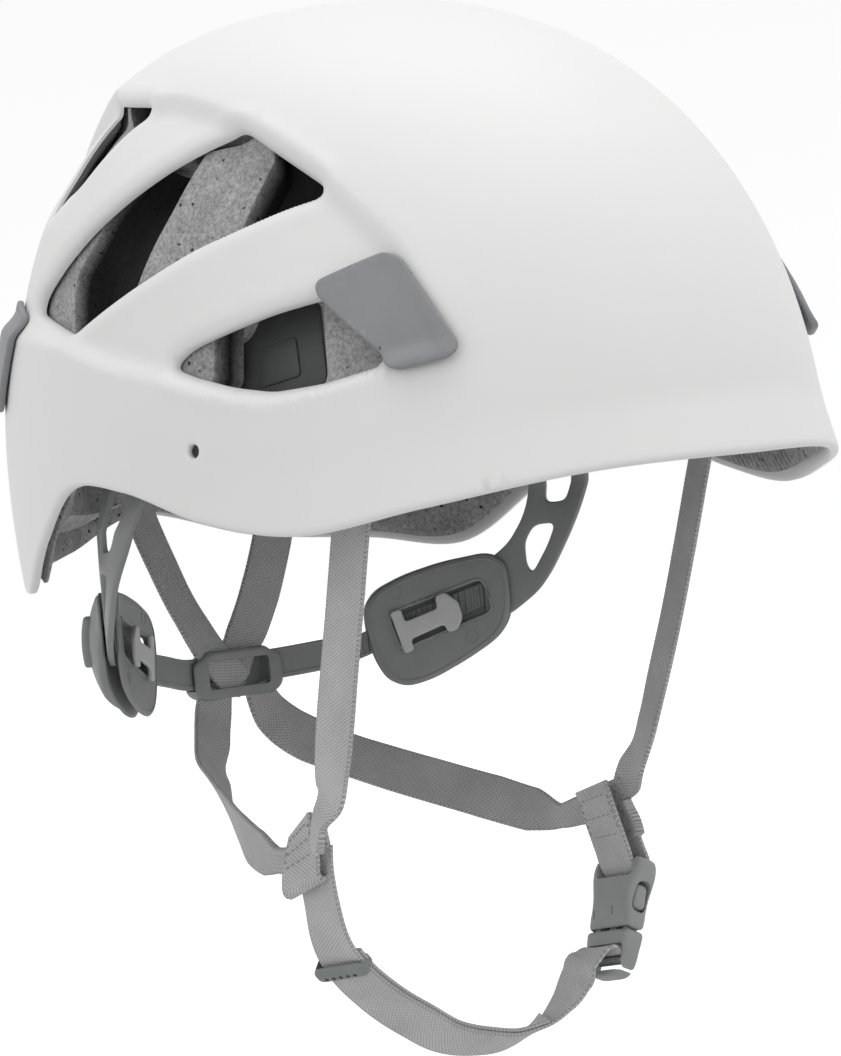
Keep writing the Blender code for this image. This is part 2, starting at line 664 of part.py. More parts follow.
# adjuster pads with their windows, and the sliding locks
PAD_OUT = [(86, -23.5), (71.5, -25.3), (59.5, -28.2), (50, -32.2), (46, -37), (46, -45), (48, -54), (51.5, -60.6), (57, -63),
           (65.5, -61.4), (77.5, -56), (86.5, -51), (91, -45.5), (92.6, -38), (92, -27)]
PAD_WIN = [(53.5, -40.2), (83.5, -31.8), (86, -41.6), (56.5, -50.6)]
ARM_OUT = [(95.2, -40.6), (101.4, -37), (106, -31.6), (110.4, -25), (115, -17.8), (118.8, -11.4), (122.6, -4), (126, 6), (127, 16),
           (124, 26.5), (117, 28.5), (108, 27), (103.5, 20), (102.2, 10), (102.0, 0), (100.6, -8), (98.2, -14), (94.6, -20), (94.6, -30)]
ARM_WINDOWS = [[(107.6, 12), (118, 11), (119, 4), (117, -2.5), (113.6, -9.6), (106.2, -9.8), (107.3, -3)],
               [(101.6, -16.4), (109.2, -16.2), (106, -22.6), (99.8, -31.5), (98.2, -28.5), (98.2, -21.4)]]
PIVOT_U = 113.5
LOCK = [(53.4, -39.2), (57.0, -38.4), (58.0, -42.6), (68.6, -39.4), (68.2, -35.6), (71.4, -34.6), (75.6, -38), (76.6, -43),
        (74.6, -46.6), (71.4, -47.2), (70.4, -44.6), (59.4, -48.2), (60.2, -51.6), (57.0, -52.6)]
for side, sx in (("right", -1), ("left", 1)):
    org = (0, PIVOT[0], PIVOT[1])
    pad_org = tuple(cradle_point(70.0, -42.0, 0.0, sx)[0])
    inner = cradle_plate("adjuster_pad_" + side, rounded(PAD_OUT, 2, 1), [rounded(PAD_WIN, 1.5, 1)], -PAD_THICK / 2 - 0.7,
                         -BAND_THICK / 2 - 0.9, sx, NYLON, pad_org)
    outer = cradle_plate("pad_cover_" + side, rounded(PAD_OUT, 2, 1), [], BAND_THICK / 2 + 0.9, PAD_THICK / 2 + 1.0, sx, NYLON, pad_org)
    lock = cradle_plate("lock_slider_" + side, rounded(LOCK, 0.6, 1), [], -PAD_THICK / 2 - 2.7, -PAD_THICK / 2 - 1.3, sx, LOCKG, pad_org)
    arm = cradle_plate("rear_arm_" + side, rounded(ARM_OUT, 2.5, 1), [rounded(w, 1.6, 1) for w in ARM_WINDOWS],
                       -ARM_THICK / 2, ARM_THICK / 2, sx, NYLON, org, 13.0)

# fixed headband plates on the inner face of the side liner, seen through the lower vents
PLATE_OUT = [(31, 20), (30, 33), (12, 37), (-14, 41), (-33, 50), (-37, 60), (-56, 60), (-60, 34), (-34, 28), (-14, 21), (8, 18)]
PLATE_DEPTH = DEPTH0 + SIDE_LINER + 3.0


def inner_plate(name, outline, depth, thick, mat, mirrored):
    """Thin closed plate that follows the inside of the liner; outline in Y-Z, filled then bent to the surface."""
    pr = outline_prism(name + "_flat", rounded(outline, 3.0, 1), 0.0, 1.0)
    bm = bmesh.new()
    bm.from_mesh(pr.data)
    bpy.data.objects.remove(pr, do_unlink=True)
    for co, no, lo, hi, st in ((1, (0, 1, 0), -0.08, 0.08, 0.018), (2, (0, 0, 1), 0.0, 0.1, 0.016)):
        v = lo
        while v < hi:
            c = [0.0, 0.0, 0.0]
            c[co] = v
            bmesh.ops.bisect_plane(bm, geom=bm.verts[:] + bm.edges[:] + bm.faces[:], plane_co=c, plane_no=no, dist=1e-6)
            v += st
    bmesh.ops.triangulate(bm, faces=bm.faces)
    ys = np.array([v.co.y for v in bm.verts]) / MM
    zs = np.array([v.co.z for v in bm.verts]) / MM
    lay = np.array([v.co.x for v in bm.verts]) / MM
    P, N = side_solve(ys, zs, DEPTH0)
    for v, p, n, l in zip(bm.verts, P, N, lay):
        q = p - n * (depth - DEPTH0 + (thick if l < 0.5 else 0.0))
        v.co = Vector(((-q[0] if mirrored else q[0]), q[1], q[2])) * MM
    bmesh.ops.recalc_face_normals(bm, faces=bm.faces)
    me = bpy.data.meshes.new(name)
    bm.to_mesh(me)
    bm.free()
    ob = bpy.data.objects.new(name, me)
    return link(ob, PARTS, mat)


PIN_X = 84.2
for side, sx in (("right", -1), ("left", 1)):
    inner_plate("headband_plate_" + side, PLATE_OUT, PLATE_DEPTH, 1.5, NYLON, sx > 0)
    # hinge pin of the cradle, through the top of the arm
    hub = cradle_point(PIVOT_U, PIVOT[1], 0.0, sx)[0]
    f = Matrix.Translation(Vector((hub[0], PIVOT[0], PIVOT[1]))) @ Matrix.Rotation(math.pi / 2, 4, 'Y')
    hole = as_cutter(rod("pin_hole_" + side, 2.9, 14, f, NYLON, 16))
    cut(bpy.data.objects["rear_arm_" + side], hole)
    pin = rod("cradle_pin_" + side, 2.2, 5.6, Matrix.Translation(Vector((-sx * 1.4, 0, 0))) @ f, PINM, 14)
    head = rod("pin_head_" + side, 4.4, 1.6, Matrix.Translation(Vector((hub[0] - sx * 4.1, PIVOT[0], PIVOT[1])))
               @ Matrix.Rotation(math.pi / 2, 4, 'Y'), PINM, 16)
    join_union(pin, [head])

# strap guide at the nape: the two band halves plug into its ends and both rear straps thread through it
gx, gy, gz = GUIDE_SIZE
G_Y = 91.4
guide = block("strap_guide", (gx, gy, gz), Matrix.Translation(Vector((0, G_Y, GUIDE_Z - 0.3))), NYLON, 1.4, 1, (0, PIVOT[0], PIVOT[1]))
cut(guide, as_cutter(block("guide_passage", (25.6, 4.4, 30), Matrix.Translation(Vector((0, G_Y, GUIDE_Z))), NYLON)))
cut(guide, as_cutter(block("guide_window", (24.0, 8, 8.4), Matrix.Translation(Vector((0, G_Y - 4.6, GUIDE_Z - 0.3))), NYLON)))
for sx in (-1, 1):
    cut(guide, as_cutter(block("band_slot_%s" % ("left" if sx > 0 else "right"), (20, 3.9, 10.5),
                               Matrix.Translation(Vector((sx * 23.6, G_Y - 0.45, GUIDE_Z + 0.8))), NYLON)))

# ------------------------------------------------------------------ harness webbing
FRONT = [(-66.2, -60.5, 20), (-66.6, -56.5, 7), (-66.1, -51.2, -8.3), (-65.1, -44.8, -27.3), (-64.0, -38.2, -46.0), (-62.4, -31.0, -65.3),
         (-60.4, -25.0, -80.0), (-58.6, -19.0, -88.5)]
W_RIGHT = [(0.10, -1, 0)] * 5 + [(0.0, -1, 0.0), (0.0, -1, 0.2), (0.1, -0.85, 0.5)]
W_LEFT = [(-0.30, -0.95, 0)] * 5 + [(-0.25, -0.95, 0), (-0.12, -0.98, 0.1), (-0.05, -0.9, 0.4)]
WID = [15, 15, 15, 15, 15, 15, 13.5, 10]
webbing("front_strap_right", FRONT, W_RIGHT, WEBF, n=15, width=WID)
webbing("front_strap_left", mirror_x(FRONT), W_LEFT, WEBF, n=15, width=WID)

REAR_UP = [(-34, 93.6, 17), (-29.6, 94.4, 5), (-25, 94.6, -7), (-20.9, 94.4, -17.4), (-15.8, 94.0, -28.4), (-9.6, 92.9, -38.5),
           (-4.4, 92.0, -44.6), (-1.0, 91.8, -50.5), (2.2, 91.8, -56), (4.6, 91.8, -60.5)]
Y_SHIFT = {"right": (0, 0, -0.1, -0.2, -0.5, -1.15, -1.3, -1.3, -1.3, -1.3), "left": (0, 0, 0, 0, 0.1, 0.5, 0.6, 0.6, 0.6, 0.6)}
for side, sx in (("right", -1), ("left", 1)):
    pts = [(-sx * p[0], p[1] + d, p[2]) for p, d in zip(REAR_UP, Y_SHIFT[side])]
    wd = [(1.0, -sx * 0.25 * 0, 0)] * len(pts)
    webbing("rear_strap_upper_" + side, pts, wd, WEBR, n=18, width=[15, 15, 15, 15, 15, 13.6, 11.4, 11.2, 11.2, 11.2])
REAR_LOW = [(-8.0, 90.2, -64.4), (-12.6, 88.0, -67.6), (-18.4, 83.5, -73.1), (-25.1, 74.1, -80.3), (-33.5, 60.3, -86.6), (-41.2, 45.4, -92.3),
            (-48.0, 31.4, -97.4), (-53.0, 17.5, -100.8), (-55.8, 5.4, -102.2)]
for side, sx in (("right", -1), ("left", 1)):
    pts = REAR_LOW if sx < 0 else mirror_x(REAR_LOW)
    wd = [(sx * 0.8, 0.2, 0.5), (sx * 0.7, 0.1, 0.65), (sx * 0.5, -0.1, 0.8), (sx * 0.3, 0.3, 0.9), (0, 0.3, 0.95), (0, 0.25, 0.97),
          (0, 0.2, 0.98), (0, 0.1, 1), (0, 0, 1)]
    webbing("rear_strap_lower_" + side, pts, wd, WEBR, n=20, width=[11, 13, 15, 15, 15, 15, 14, 12, 9.5])

# strap anchors pressed into the foam above the strap ends
for side, sx in (("right", -1), ("left", 1)):
    block("front_anchor_" + side, (3.6, 15, 7), Matrix.Translation(Vector((sx * 66.5, -59.0, 26.6))), PINM, 0.8, 1)
    block("rear_anchor_" + side, (16, 4.4, 7), Matrix.Translation(Vector((sx * 35.2, 94.4, 23.6))), PINM, 0.8, 1)

# folded and sewn web loops where front, rear and chin straps meet
def web_loop(name, top, centre, wdir, gap, mat, wdir_low=None):
    """Webbing folded into a narrow U round its lower end."""
    r = gap / 2 + WEB_THICK / 2
    top = np.array(top, float)
    centre = np.array(centre, float)
    a = (centre - top) / np.linalg.norm(centre - top)
    bottom = centre + a * r
    w = np.array(wdir, float)
    w = w - a * w.dot(a)
    w /= np.linalg.norm(w)
    n = np.cross(a, w)
    path = [top + n * r * 0.9, top + (bottom - top) * 0.35 + n * r, top + (bottom - top) * 0.7 + n * r]
    for k in range(7):
        t = math.pi * k / 6
        path.append(bottom - a * r + n * r * math.cos(t) + a * r * math.sin(t))
    path += [top + (bottom - top) * 0.7 - n * r, top + (bottom - top) * 0.35 - n * r, top - n * r * 0.9]
    wl = w if wdir_low is None else np.array(wdir_low, float)
    ws = [w, w * 0.5 + wl * 0.5] + [wl] * (len(path) - 4) + [w * 0.5 + wl * 0.5, w]
    return webbing(name, path, ws, mat, n=24)


web_loop("junction_loop_right", (-57.6, -8.2, -92.0), (-57.2, -6.9, -108.6), (0, -0.88, 0.47), 2.4, WEBF)

# buckle: axis runs down the cheek from the loop to the chin strap
B_TOP = np.array((59.5, -14.0, -118.0))
B_AX = np.array((-0.42, -0.10, -0.90))
B_AX /= np.linalg.norm(B_AX)
B_W = np.array((-0.017, -0.979, 0.118))
B_W -= B_AX * B_W.dot(B_AX)
B_W /= np.linalg.norm(B_W)
B_N = np.cross(B_AX, B_W)
FEM_LEN, FEM_W, FEM_T = 22.0, 23.5, 8.6


def buckle_frame(along, across=0.0, out=0.0):
    o = B_TOP + B_AX * along + B_W * across + B_N * out
    return frame_from(o, B_W, B_AX)     # X across, Y along, Z out


female = block("buckle_female", (FEM_W, FEM_LEN, FEM_T), buckle_frame(FEM_LEN / 2), BUCK, 1.8, 2)
cut(female, as_cutter(block("female_cavity", (19.5, 15.0, 5.2), buckle_frame(FEM_LEN - 7.0), BUCK)))
cut(female, as_cutter(block("female_side_windows", (40, 7.6, 4.6), buckle_frame(13.2), BUCK)))
cut(female, as_cutter(block("female_web_gap", (17.6, 9.6, 20), buckle_frame(1.2), BUCK)))
join_union(female, [rod("female_bar", 1.4, 19.6, buckle_frame(1.7) @ Matrix.Rotation(math.pi / 2, 4, 'Y'), BUCK, 10)])
web_loop("junction_loop_left", (59.4, -11.6, -95.0), tuple(B_TOP + B_AX * 1.7), (-0.06, -0.92, 0.3), 4.1, WEBF, B_W)

# male half: body, web bar, two prongs and a centre guide
M0 = FEM_LEN + 0.4
male = block("buckle_male", (21.0, 15.0, 6.6), buckle_frame(M0 + 7.5), BUCK, 1.6, 2, tuple(B_TOP + B_AX * M0))
cut(male, as_cutter(block("male_web_gap", (16.4, 8.6, 20), buckle_frame(M0 + 8.6), BUCK)))
bits = [rod("male_bar", 1.4, 18.0, buckle_frame(M0 + 8.8) @ Matrix.Rotation(math.pi / 2, 4, 'Y'), BUCK, 10)]
for nm, x in (("a", -7.4), ("b", 7.4)):
    bits.append(block("male_prong_" + nm, (2.8, 15.0, 3.8), buckle_frame(M0 - 5.5, x), BUCK, 0.5, 1))
bits.append(block("male_guide", (3.0, 13.0, 3.0), buckle_frame(M0 - 4.5), BUCK, 0.4, 1))
join_union(male, bits)

# chin strap: near junction, under the chin, up to the male bar and back on itself
bar = B_TOP + B_AX * (M0 + 8.8)
CHIN = [(-52.6, -9.0, -99.5), (-53.2, -8.6, -106), (-52.6, -8, -115), (-49.7, -5.4, -126.3), (-43.2, -3.2, -134.8), (-30.3, -0.4, -145.6),
        (-15, 1.6, -154.5), (-3.9, 2, -160.2), (8.2, 1.4, -163.4), (17.9, -1, -164.6), (26.5, -4.6, -162.8), (33.2, -9.0, -158.4)]
W_CHIN = [(0, -0.95, 0.3), (0, -0.97, 0.2), (0, -0.98, 0.1), (0.1, -0.98, 0.1), (0.2, -0.95, 0.2), (0.2, -0.9, 0.35), (0.1, -0.85, 0.5),
          (0.0, -0.85, 0.52), (-0.1, -0.86, 0.5), (-0.15, -0.9, 0.4), (-0.15, -0.93, 0.3), (-0.1, -0.97, 0.2)]
r = 1.4 + 0.6 + WEB_THICK / 2
CHIN_END = [tuple(bar + B_AX * 8.4 + B_N * 5.2), tuple(bar + B_AX * 4.6 + B_N * 4.5), tuple(bar + B_AX * 1.4 + B_N * 3.0)]
for k in range(7):
    t = math.radians(90 + 30 * k)
    CHIN_END.append(tuple(bar + B_N * r * math.sin(t) + B_AX * r * math.cos(t)))
path = CHIN + CHIN_END
ww = W_CHIN + [tuple(B_W)] * len(CHIN_END)
webbing("chin_strap", path, ww, WEBF, n=46, turn=len(CHIN))

# strap keeper: a small plastic ring riding on the chin strap
K_ALONG = 36.5              # distance along the chin strap from its upper end


def along_path(path, widths, dist):
    path = np.array(path, float)
    L = np.r_[0, np.cumsum(np.linalg.norm(np.diff(path, axis=0), axis=1))]
    f = spline(L, path, False)
    p = f(np.array([dist]))[0]
    t = f(np.array([dist + 0.5]))[0] - f(np.array([dist - 0.5]))[0]
    return p, t / np.linalg.norm(t), spline(L, np.array(widths, float), False)(np.array([dist]))[0]


K_POS, K_T, K_W = along_path(path, ww, K_ALONG)
kf = frame_from(K_POS, K_W - K_T * K_W.dot(K_T), K_T)
keeper = block("strap_keeper", (20.0, 6.0, 6.4), kf, KEEP, 1.2, 2, tuple(K_POS))
cut(keeper, as_cutter(block("keeper_slot", (16.4, 20, 3.8), kf, KEEP)))
print("keeper", K_POS.round(2), K_T.round(3), "male", (B_TOP + B_AX * M0).round(2), B_AX.round(4), B_N.round(3))
print("pad dir", (cradle_point(73, float(band_mid(73)), 0, 1)[0] - cradle_point(67, float(band_mid(67)), 0, 1)[0]).round(2))

bpy.context.view_layer.update()
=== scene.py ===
import math
import bpy
import bmesh
import numpy as np
from mathutils import Matrix, Vector, kdtree
from mathutils.geometry import delaunay_2d_cdt


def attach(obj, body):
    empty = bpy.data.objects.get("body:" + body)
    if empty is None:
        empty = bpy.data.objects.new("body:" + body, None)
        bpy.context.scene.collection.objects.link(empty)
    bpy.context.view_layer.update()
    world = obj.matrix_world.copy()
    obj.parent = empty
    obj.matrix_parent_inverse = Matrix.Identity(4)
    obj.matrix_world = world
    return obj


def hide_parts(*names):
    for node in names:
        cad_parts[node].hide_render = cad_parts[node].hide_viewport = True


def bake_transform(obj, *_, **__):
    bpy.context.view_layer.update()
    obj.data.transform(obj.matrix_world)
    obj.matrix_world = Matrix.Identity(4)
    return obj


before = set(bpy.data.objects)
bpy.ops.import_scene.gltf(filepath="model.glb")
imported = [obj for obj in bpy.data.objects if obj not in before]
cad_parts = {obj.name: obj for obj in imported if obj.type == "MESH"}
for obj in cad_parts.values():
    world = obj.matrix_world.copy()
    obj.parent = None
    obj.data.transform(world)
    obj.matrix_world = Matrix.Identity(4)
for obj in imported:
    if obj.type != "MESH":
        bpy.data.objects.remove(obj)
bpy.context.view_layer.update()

MM = 0.001
scene = bpy.context.scene

# ------------------------------------------------------------------ driving dimensions (mm), the same as the CAD's
HALF_WIDTH, HALF_FRONT, HALF_REAR, CROWN, SWEEP_BACK = 105.0, 137.7, 133.8, 144.0, 11.0
PITCH = math.radians(-7.9)
Q_SIDE, Q_FRONT, Q_REAR = 2.57, 2.17, 1.94
FLARE_SIDE, FLARE_FRONT, FLARE_REAR = -0.023, -0.129, 0.037
RIM_ANGLE = (0, 20, 40, 58, 74, 90, 104, 118, 132, 146, 162, 180)
RIM_HEIGHT = (-16.8, -15.8, -17.0, -17.0, -7.0, 7.2, 12.8, 1.6, -9.8, -2.6, 4.6, 16.6)
SHELL_WALL, FLANK_RECESS, LINER_GAP, SIDE_LINER, CROWN_LINER = 3.0, 3.4, 1.4, 12.0, 20.0
DEPTH0 = SHELL_WALL + LINER_GAP
WEB_WIDTH, WEB_THICK = 15.0, 1.5
BAND_HEIGHT, BAND_THICK, ARM_THICK, PAD_THICK = 9.5, 1.6, 2.0, 5.0


def spline(xs, ys, clamp=True):
    xs = np.array(xs, float)
    ys = np.array(ys, float)
    m = np.gradient(ys, xs, axis=0)
    if clamp:
        m[0] = 0
        m[-1] = 0

    def f(x):
        x = np.clip(np.asarray(x, float), xs[0], xs[-1])
        i = np.clip(np.searchsorted(xs, x, side='right') - 1, 0, len(xs) - 2)
        h = xs[i + 1] - xs[i]
        t = (x - xs[i]) / h
        if ys.ndim > 1:
            h = h[..., None]
            t = t[..., None]
        return ((2 * t**3 - 3 * t**2 + 1) * ys[i] + (t**3 - 2 * t**2 + t) * h * m[i]
                + (-2 * t**3 + 3 * t**2) * ys[i + 1] + (t**3 - t**2) * h * m[i + 1])
    return f


rim_height = spline(RIM_ANGLE, RIM_HEIGHT)


def smooth(e0, e1, x):
    t = np.clip((x - e0) / (e1 - e0), 0, 1)
    return t * t * (3 - 2 * t)


PANEL_Y = (-115, -106, -95, -85, -74, -65, -51, -24, -5, 34, 46, 62, 82, 104, 135)
PANEL_X = (60, 62.4, 66, 67.7, 70.2, 71.4, 72.4, 73, 72, 66.5, 58, 50, 44, 40, 37)
STEP_Y = (-115, -100, -94, -83, -69, -53.5, -36, -16, 2, 30, 60, 83, 105, 140)
STEP_Z = (36, 34.5, 33.8, 31.4, 27.7, 26, 29.8, 35.7, 40, 48, 53, 57, 60, 62)
panel_half = spline(PANEL_Y, PANEL_X, False)
step_height = spline(STEP_Y, STEP_Z, False)


def section(phi, s):
    phi = np.asarray(phi, float)
    s = np.asarray(s, float)
    c, sn = np.cos(phi), np.sin(phi)
    b = np.where(c > 0, HALF_FRONT, HALF_REAR)
    r = 1.0 / np.sqrt((sn / HALF_WIDTH) ** 2 + (c / b) ** 2)
    q = np.where(c > 0, Q_FRONT, Q_REAR) * c**2 + Q_SIDE * sn**2
    fl = np.where(c > 0, FLARE_FRONT, FLARE_REAR) * c**2 + FLARE_SIDE * sn**2
    ph = np.degrees(np.abs(((phi + np.pi) % (2 * np.pi)) - np.pi))
    z = CROWN * np.sin(np.clip(s, 0, 1) * np.pi / 2) ** (2 / q) + rim_height(ph) * (1 - s) ** 6
    zz = np.clip(z / CROWN, 0, 1)
    g = np.where(z < 0, 1 + fl * z / 100.0, np.maximum(1 - zz**q, 0) ** (1 / q))
    x = -r * g * sn
    y = -r * g * c + SWEEP_BACK * zz**2
    cp, sp = math.cos(PITCH), math.sin(PITCH)
    return np.stack([x, y * cp - z * sp, y * sp + z * cp], -1)


def dome_normal(phi, s):
    s = np.clip(np.asarray(s, float), 0.004, 0.985)
    e = 1e-3
    a = section(phi + e, s) - section(phi - e, s)
    b = section(phi, np.minimum(s + e, 1)) - section(phi, s - e)
    n = np.cross(b, a)
    n /= np.linalg.norm(n, axis=-1, keepdims=True) + 1e-12
    out = section(phi, s) - np.array([0, 0, 10.0])
    return n * np.sign((n * out).sum(-1))[..., None]


RIDGE_W = 4.6


def recess(p, width=RIDGE_W):
    x, y, z = np.abs(p[..., 0]), p[..., 1], p[..., 2]
    a = smooth(0, width, x - panel_half(y))
    b = smooth(0, width * 1.5, z - step_height(y))
    fade = smooth(-108, -92, y) * (1 - smooth(96, 118, y))
    back = 2.0 * smooth(22, 52, y) * (1 - smooth(84, 112, y)) * smooth(84, 106, z)
    return (FLANK_RECESS + back) * a * b * fade


def dome(phi, s, depth=0.0, width=RIDGE_W):
    p = section(phi, s)
    d = np.asarray(depth, float) + recess(p, width)
    return p - dome_normal(phi, s) * np.broadcast_to(d, p.shape[:-1])[..., None]


def side_params(y, z, depth=0.0):
    """(phi, s) of the right-side surface point at given y, z."""
    y = np.atleast_1d(np.asarray(y, float))
    z = np.atleast_1d(np.asarray(z, float))
    phi = np.arctan2(np.full_like(y, 100.0), -(y * 0.8))
    s = np.clip((z + 15) / 170.0, 0.05, 0.9)
    for _ in range(34):
        p = dome(phi, s, depth)
        r = p[:, 1:] - np.stack([y, z], -1)
        e = 1e-3
        a = (dome(phi + e, s, depth)[:, 1:] - p[:, 1:]) / e
        b = (dome(phi, s + e, depth)[:, 1:] - p[:, 1:]) / e
        det = a[:, 0] * b[:, 1] - a[:, 1] * b[:, 0]
        det = np.where(np.abs(det) < 1e-6, 1e-6, det)
        dphi = (r[:, 0] * b[:, 1] - r[:, 1] * b[:, 0]) / det
        ds = (a[:, 0] * r[:, 1] - a[:, 1] * r[:, 0]) / det
        phi = np.clip(phi - np.clip(dphi, -0.15, 0.15), 0.15, np.pi - 0.1)
        s = np.clip(s - np.clip(ds, -0.06, 0.06), 0.0, 0.97)
    return phi, s


def side_solve(y, z, depth=0.0):
    phi, s = side_params(y, z, depth)
    return dome(phi, s, depth), dome_normal(phi, s)


def top_params(x, y):
    """(phi, s) of the unrecessed surface point at given x < 0 and y."""
    x = np.atleast_1d(np.asarray(x, float))
    y = np.atleast_1d(np.asarray(y, float))
    phi = np.arctan2(-x, -(y - 8))
    s = np.full_like(x, 0.62)
    for _ in range(40):
        p = section(phi, s)
        r = p[:, :2] - np.stack([x, y], -1)
        e = 1e-3
        a = (section(phi + e, s)[:, :2] - p[:, :2]) / e
        b = (section(phi, s + e)[:, :2] - p[:, :2]) / e
        det = a[:, 0] * b[:, 1] - a[:, 1] * b[:, 0]
        det = np.where(np.abs(det) < 1e-6, 1e-6, det)
        dphi = (r[:, 0] * b[:, 1] - r[:, 1] * b[:, 0]) / det
        ds = (a[:, 0] * r[:, 1] - a[:, 1] * r[:, 0]) / det
        phi = np.clip(phi - np.clip(dphi, -0.15, 0.15), 0.02, np.pi - 0.02)
        s = np.clip(s - np.clip(ds, -0.06, 0.06), 0.0, 0.97)
    return phi, s


# ------------------------------------------------------------------ 2D loops
def rounded(pts, r, n=5):
    pts = [np.array(p, float) for p in pts]
    out = []
    m = len(pts)
    for i in range(m):
        a, b, c = pts[i - 1], pts[i], pts[(i + 1) % m]
        rr = r[i] if isinstance(r, (list, tuple)) else r
        u = (a - b) / np.linalg.norm(a - b)
        v = (c - b) / np.linalg.norm(c - b)
        d = min(rr, 0.47 * np.linalg.norm(a - b), 0.47 * np.linalg.norm(c - b))
        p0, p2 = b + u * d, b + v * d
        for k in range(n + 1):
            t = k / n
            out.append((1 - t) ** 2 * p0 + 2 * t * (1 - t) * b + t * t * p2)
    return np.array(out)


def resample(loop, step, passes=2):
    loop = np.asarray(loop, float)
    c = np.vstack([loop, loop[:1]])
    L = np.r_[0, np.cumsum(np.linalg.norm(np.diff(c, axis=0), axis=1))]
    n = max(8, int(round(L[-1] / step)))
    t = np.linspace(0, L[-1], n + 1)[:-1]
    out = np.stack([np.interp(t, L, c[:, k]) for k in range(c.shape[1])], -1)
    for _ in range(passes):
        out = out * 0.5 + (np.roll(out, 1, 0) + np.roll(out, -1, 0)) * 0.25
    return out


def area(L):
    x, y = L[:, 0], L[:, 1]
    return 0.5 * np.sum(x * np.roll(y, -1) - np.roll(x, -1) * y)


def ccw(L):
    return L if area(L) > 0 else L[::-1]


def cw(L):
    return ccw(L)[::-1]


def offset_loop(L, d):
    """Move a closed loop to its left by d."""
    t = np.roll(L, -1, 0) - np.roll(L, 1, 0)
    t /= np.linalg.norm(t, axis=1, keepdims=True) + 1e-12
    return L + np.stack([-t[:, 1], t[:, 0]], -1) * d


def inside(P, L):
    """Even-odd test of points P (N,2) against the loop L."""
    x, y = P[:, 0][:, None], P[:, 1][:, None]
    x1, y1 = L[:, 0][None], L[:, 1][None]
    x2, y2 = np.roll(L, -1, 0)[:, 0][None], np.roll(L, -1, 0)[:, 1][None]
    c = ((y1 > y) != (y2 > y)) & (x < (x2 - x1) * (y - y1) / (y2 - y1 + 1e-30) + x1)
    return c.sum(1) % 2 == 1


def nearest(P, Q):
    """Distance from each point of P to the set Q."""
    kd = kdtree.KDTree(len(Q))
    for i, q in enumerate(Q):
        kd.insert((q[0], q[1], q[2] if len(q) > 2 else 0.0), i)
    kd.balance()
    return np.array([kd.find((p[0], p[1], p[2] if len(p) > 2 else 0.0))[2] for p in P])


def cdt(P, edges):
    r = delaunay_2d_cdt([Vector((float(p[0]), float(p[1]))) for p in P], [tuple(e) for e in edges], [], 0, 1e-9)
    co, faces, orig = r[0], r[2], r[3]
    if len(co) != len(P) or any(len(o) != 1 for o in orig):
        ids = [o[0] if o else -1 for o in orig]
        faces = [[ids[i] for i in f] for f in faces if all(ids[i] >= 0 for i in f)]
    else:
        ids = [o[0] for o in orig]
        faces = [[ids[i] for i in f] for f in faces]
    F = np.array([f for f in faces if len(f) == 3], int)
    a, b, c = P[F[:, 0]], P[F[:, 1]], P[F[:, 2]]
    ar = (b[:, 0] - a[:, 0]) * (c[:, 1] - a[:, 1]) - (c[:, 0] - a[:, 0]) * (b[:, 1] - a[:, 1])
    F[ar < 0] = F[ar < 0][:, ::-1]
    return F


# ------------------------------------------------------------------ mesh objects
def add(name, V, F, mat, body, nodes=(), sharp=42.0, attrs=None, ride=True, recalc=False):
    me = bpy.data.meshes.new(name)
    me.from_pydata((np.asarray(V, float) * MM).tolist(), [], [tuple(int(i) for i in f) for f in F])
    me.update()
    if recalc:
        bm = bmesh.new()
        bm.from_mesh(me)
        bmesh.ops.recalc_face_normals(bm, faces=bm.faces)
        bm.to_mesh(me)
        bm.free()
    for k, vals in (attrs or {}).items():
        vals = np.asarray(vals, np.float32)
        if vals.ndim == 1:
            at = me.attributes.new(k, 'FLOAT', 'POINT')
            at.data.foreach_set("value", vals)
        else:
            at = me.attributes.new(k, 'FLOAT_VECTOR', 'POINT')
            at.data.foreach_set("vector", vals.ravel())
    ob = bpy.data.objects.new(name, me)
    scene.collection.objects.link(ob)
    return dress(ob, mat, body, nodes, sharp, ride)


def dress(ob, mat, body, nodes=(), sharp=42.0, ride=True):
    ob.data.materials.clear()
    ob.data.materials.append(mat)
    ob.data.shade_smooth()
    ob.data.set_sharp_from_angle(angle=math.radians(sharp))
    if nodes:
        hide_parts(*nodes)
    if ride:
        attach(ob, body)
    return ob


def boundary_edges(F):
    F = np.asarray(F)
    e = np.vstack([F[:, [0, 1]], F[:, [1, 2]], F[:, [2, 0]]])
    key = np.sort(e, 1)
    _, inv, cnt = np.unique(key, axis=0, return_inverse=True, return_counts=True)
    return e[cnt[inv.ravel()] == 1]


def close_shell(Vo, Vi, F, mid=None):
    """Closed body from an outer and an inner sheet of the same topology."""
    n = len(Vo)
    V = np.vstack([Vo, Vi])
    faces = [tuple(f) for f in F] + [tuple(f[::-1] + n) for f in F]
    for i, j in boundary_edges(F):
        faces.append((j, i, i + n, j + n))
    return V, faces


def polar(phi, s):
    r = 1 - np.asarray(s, float)
    return np.stack([r * np.sin(phi), -r * np.cos(phi)], -1)


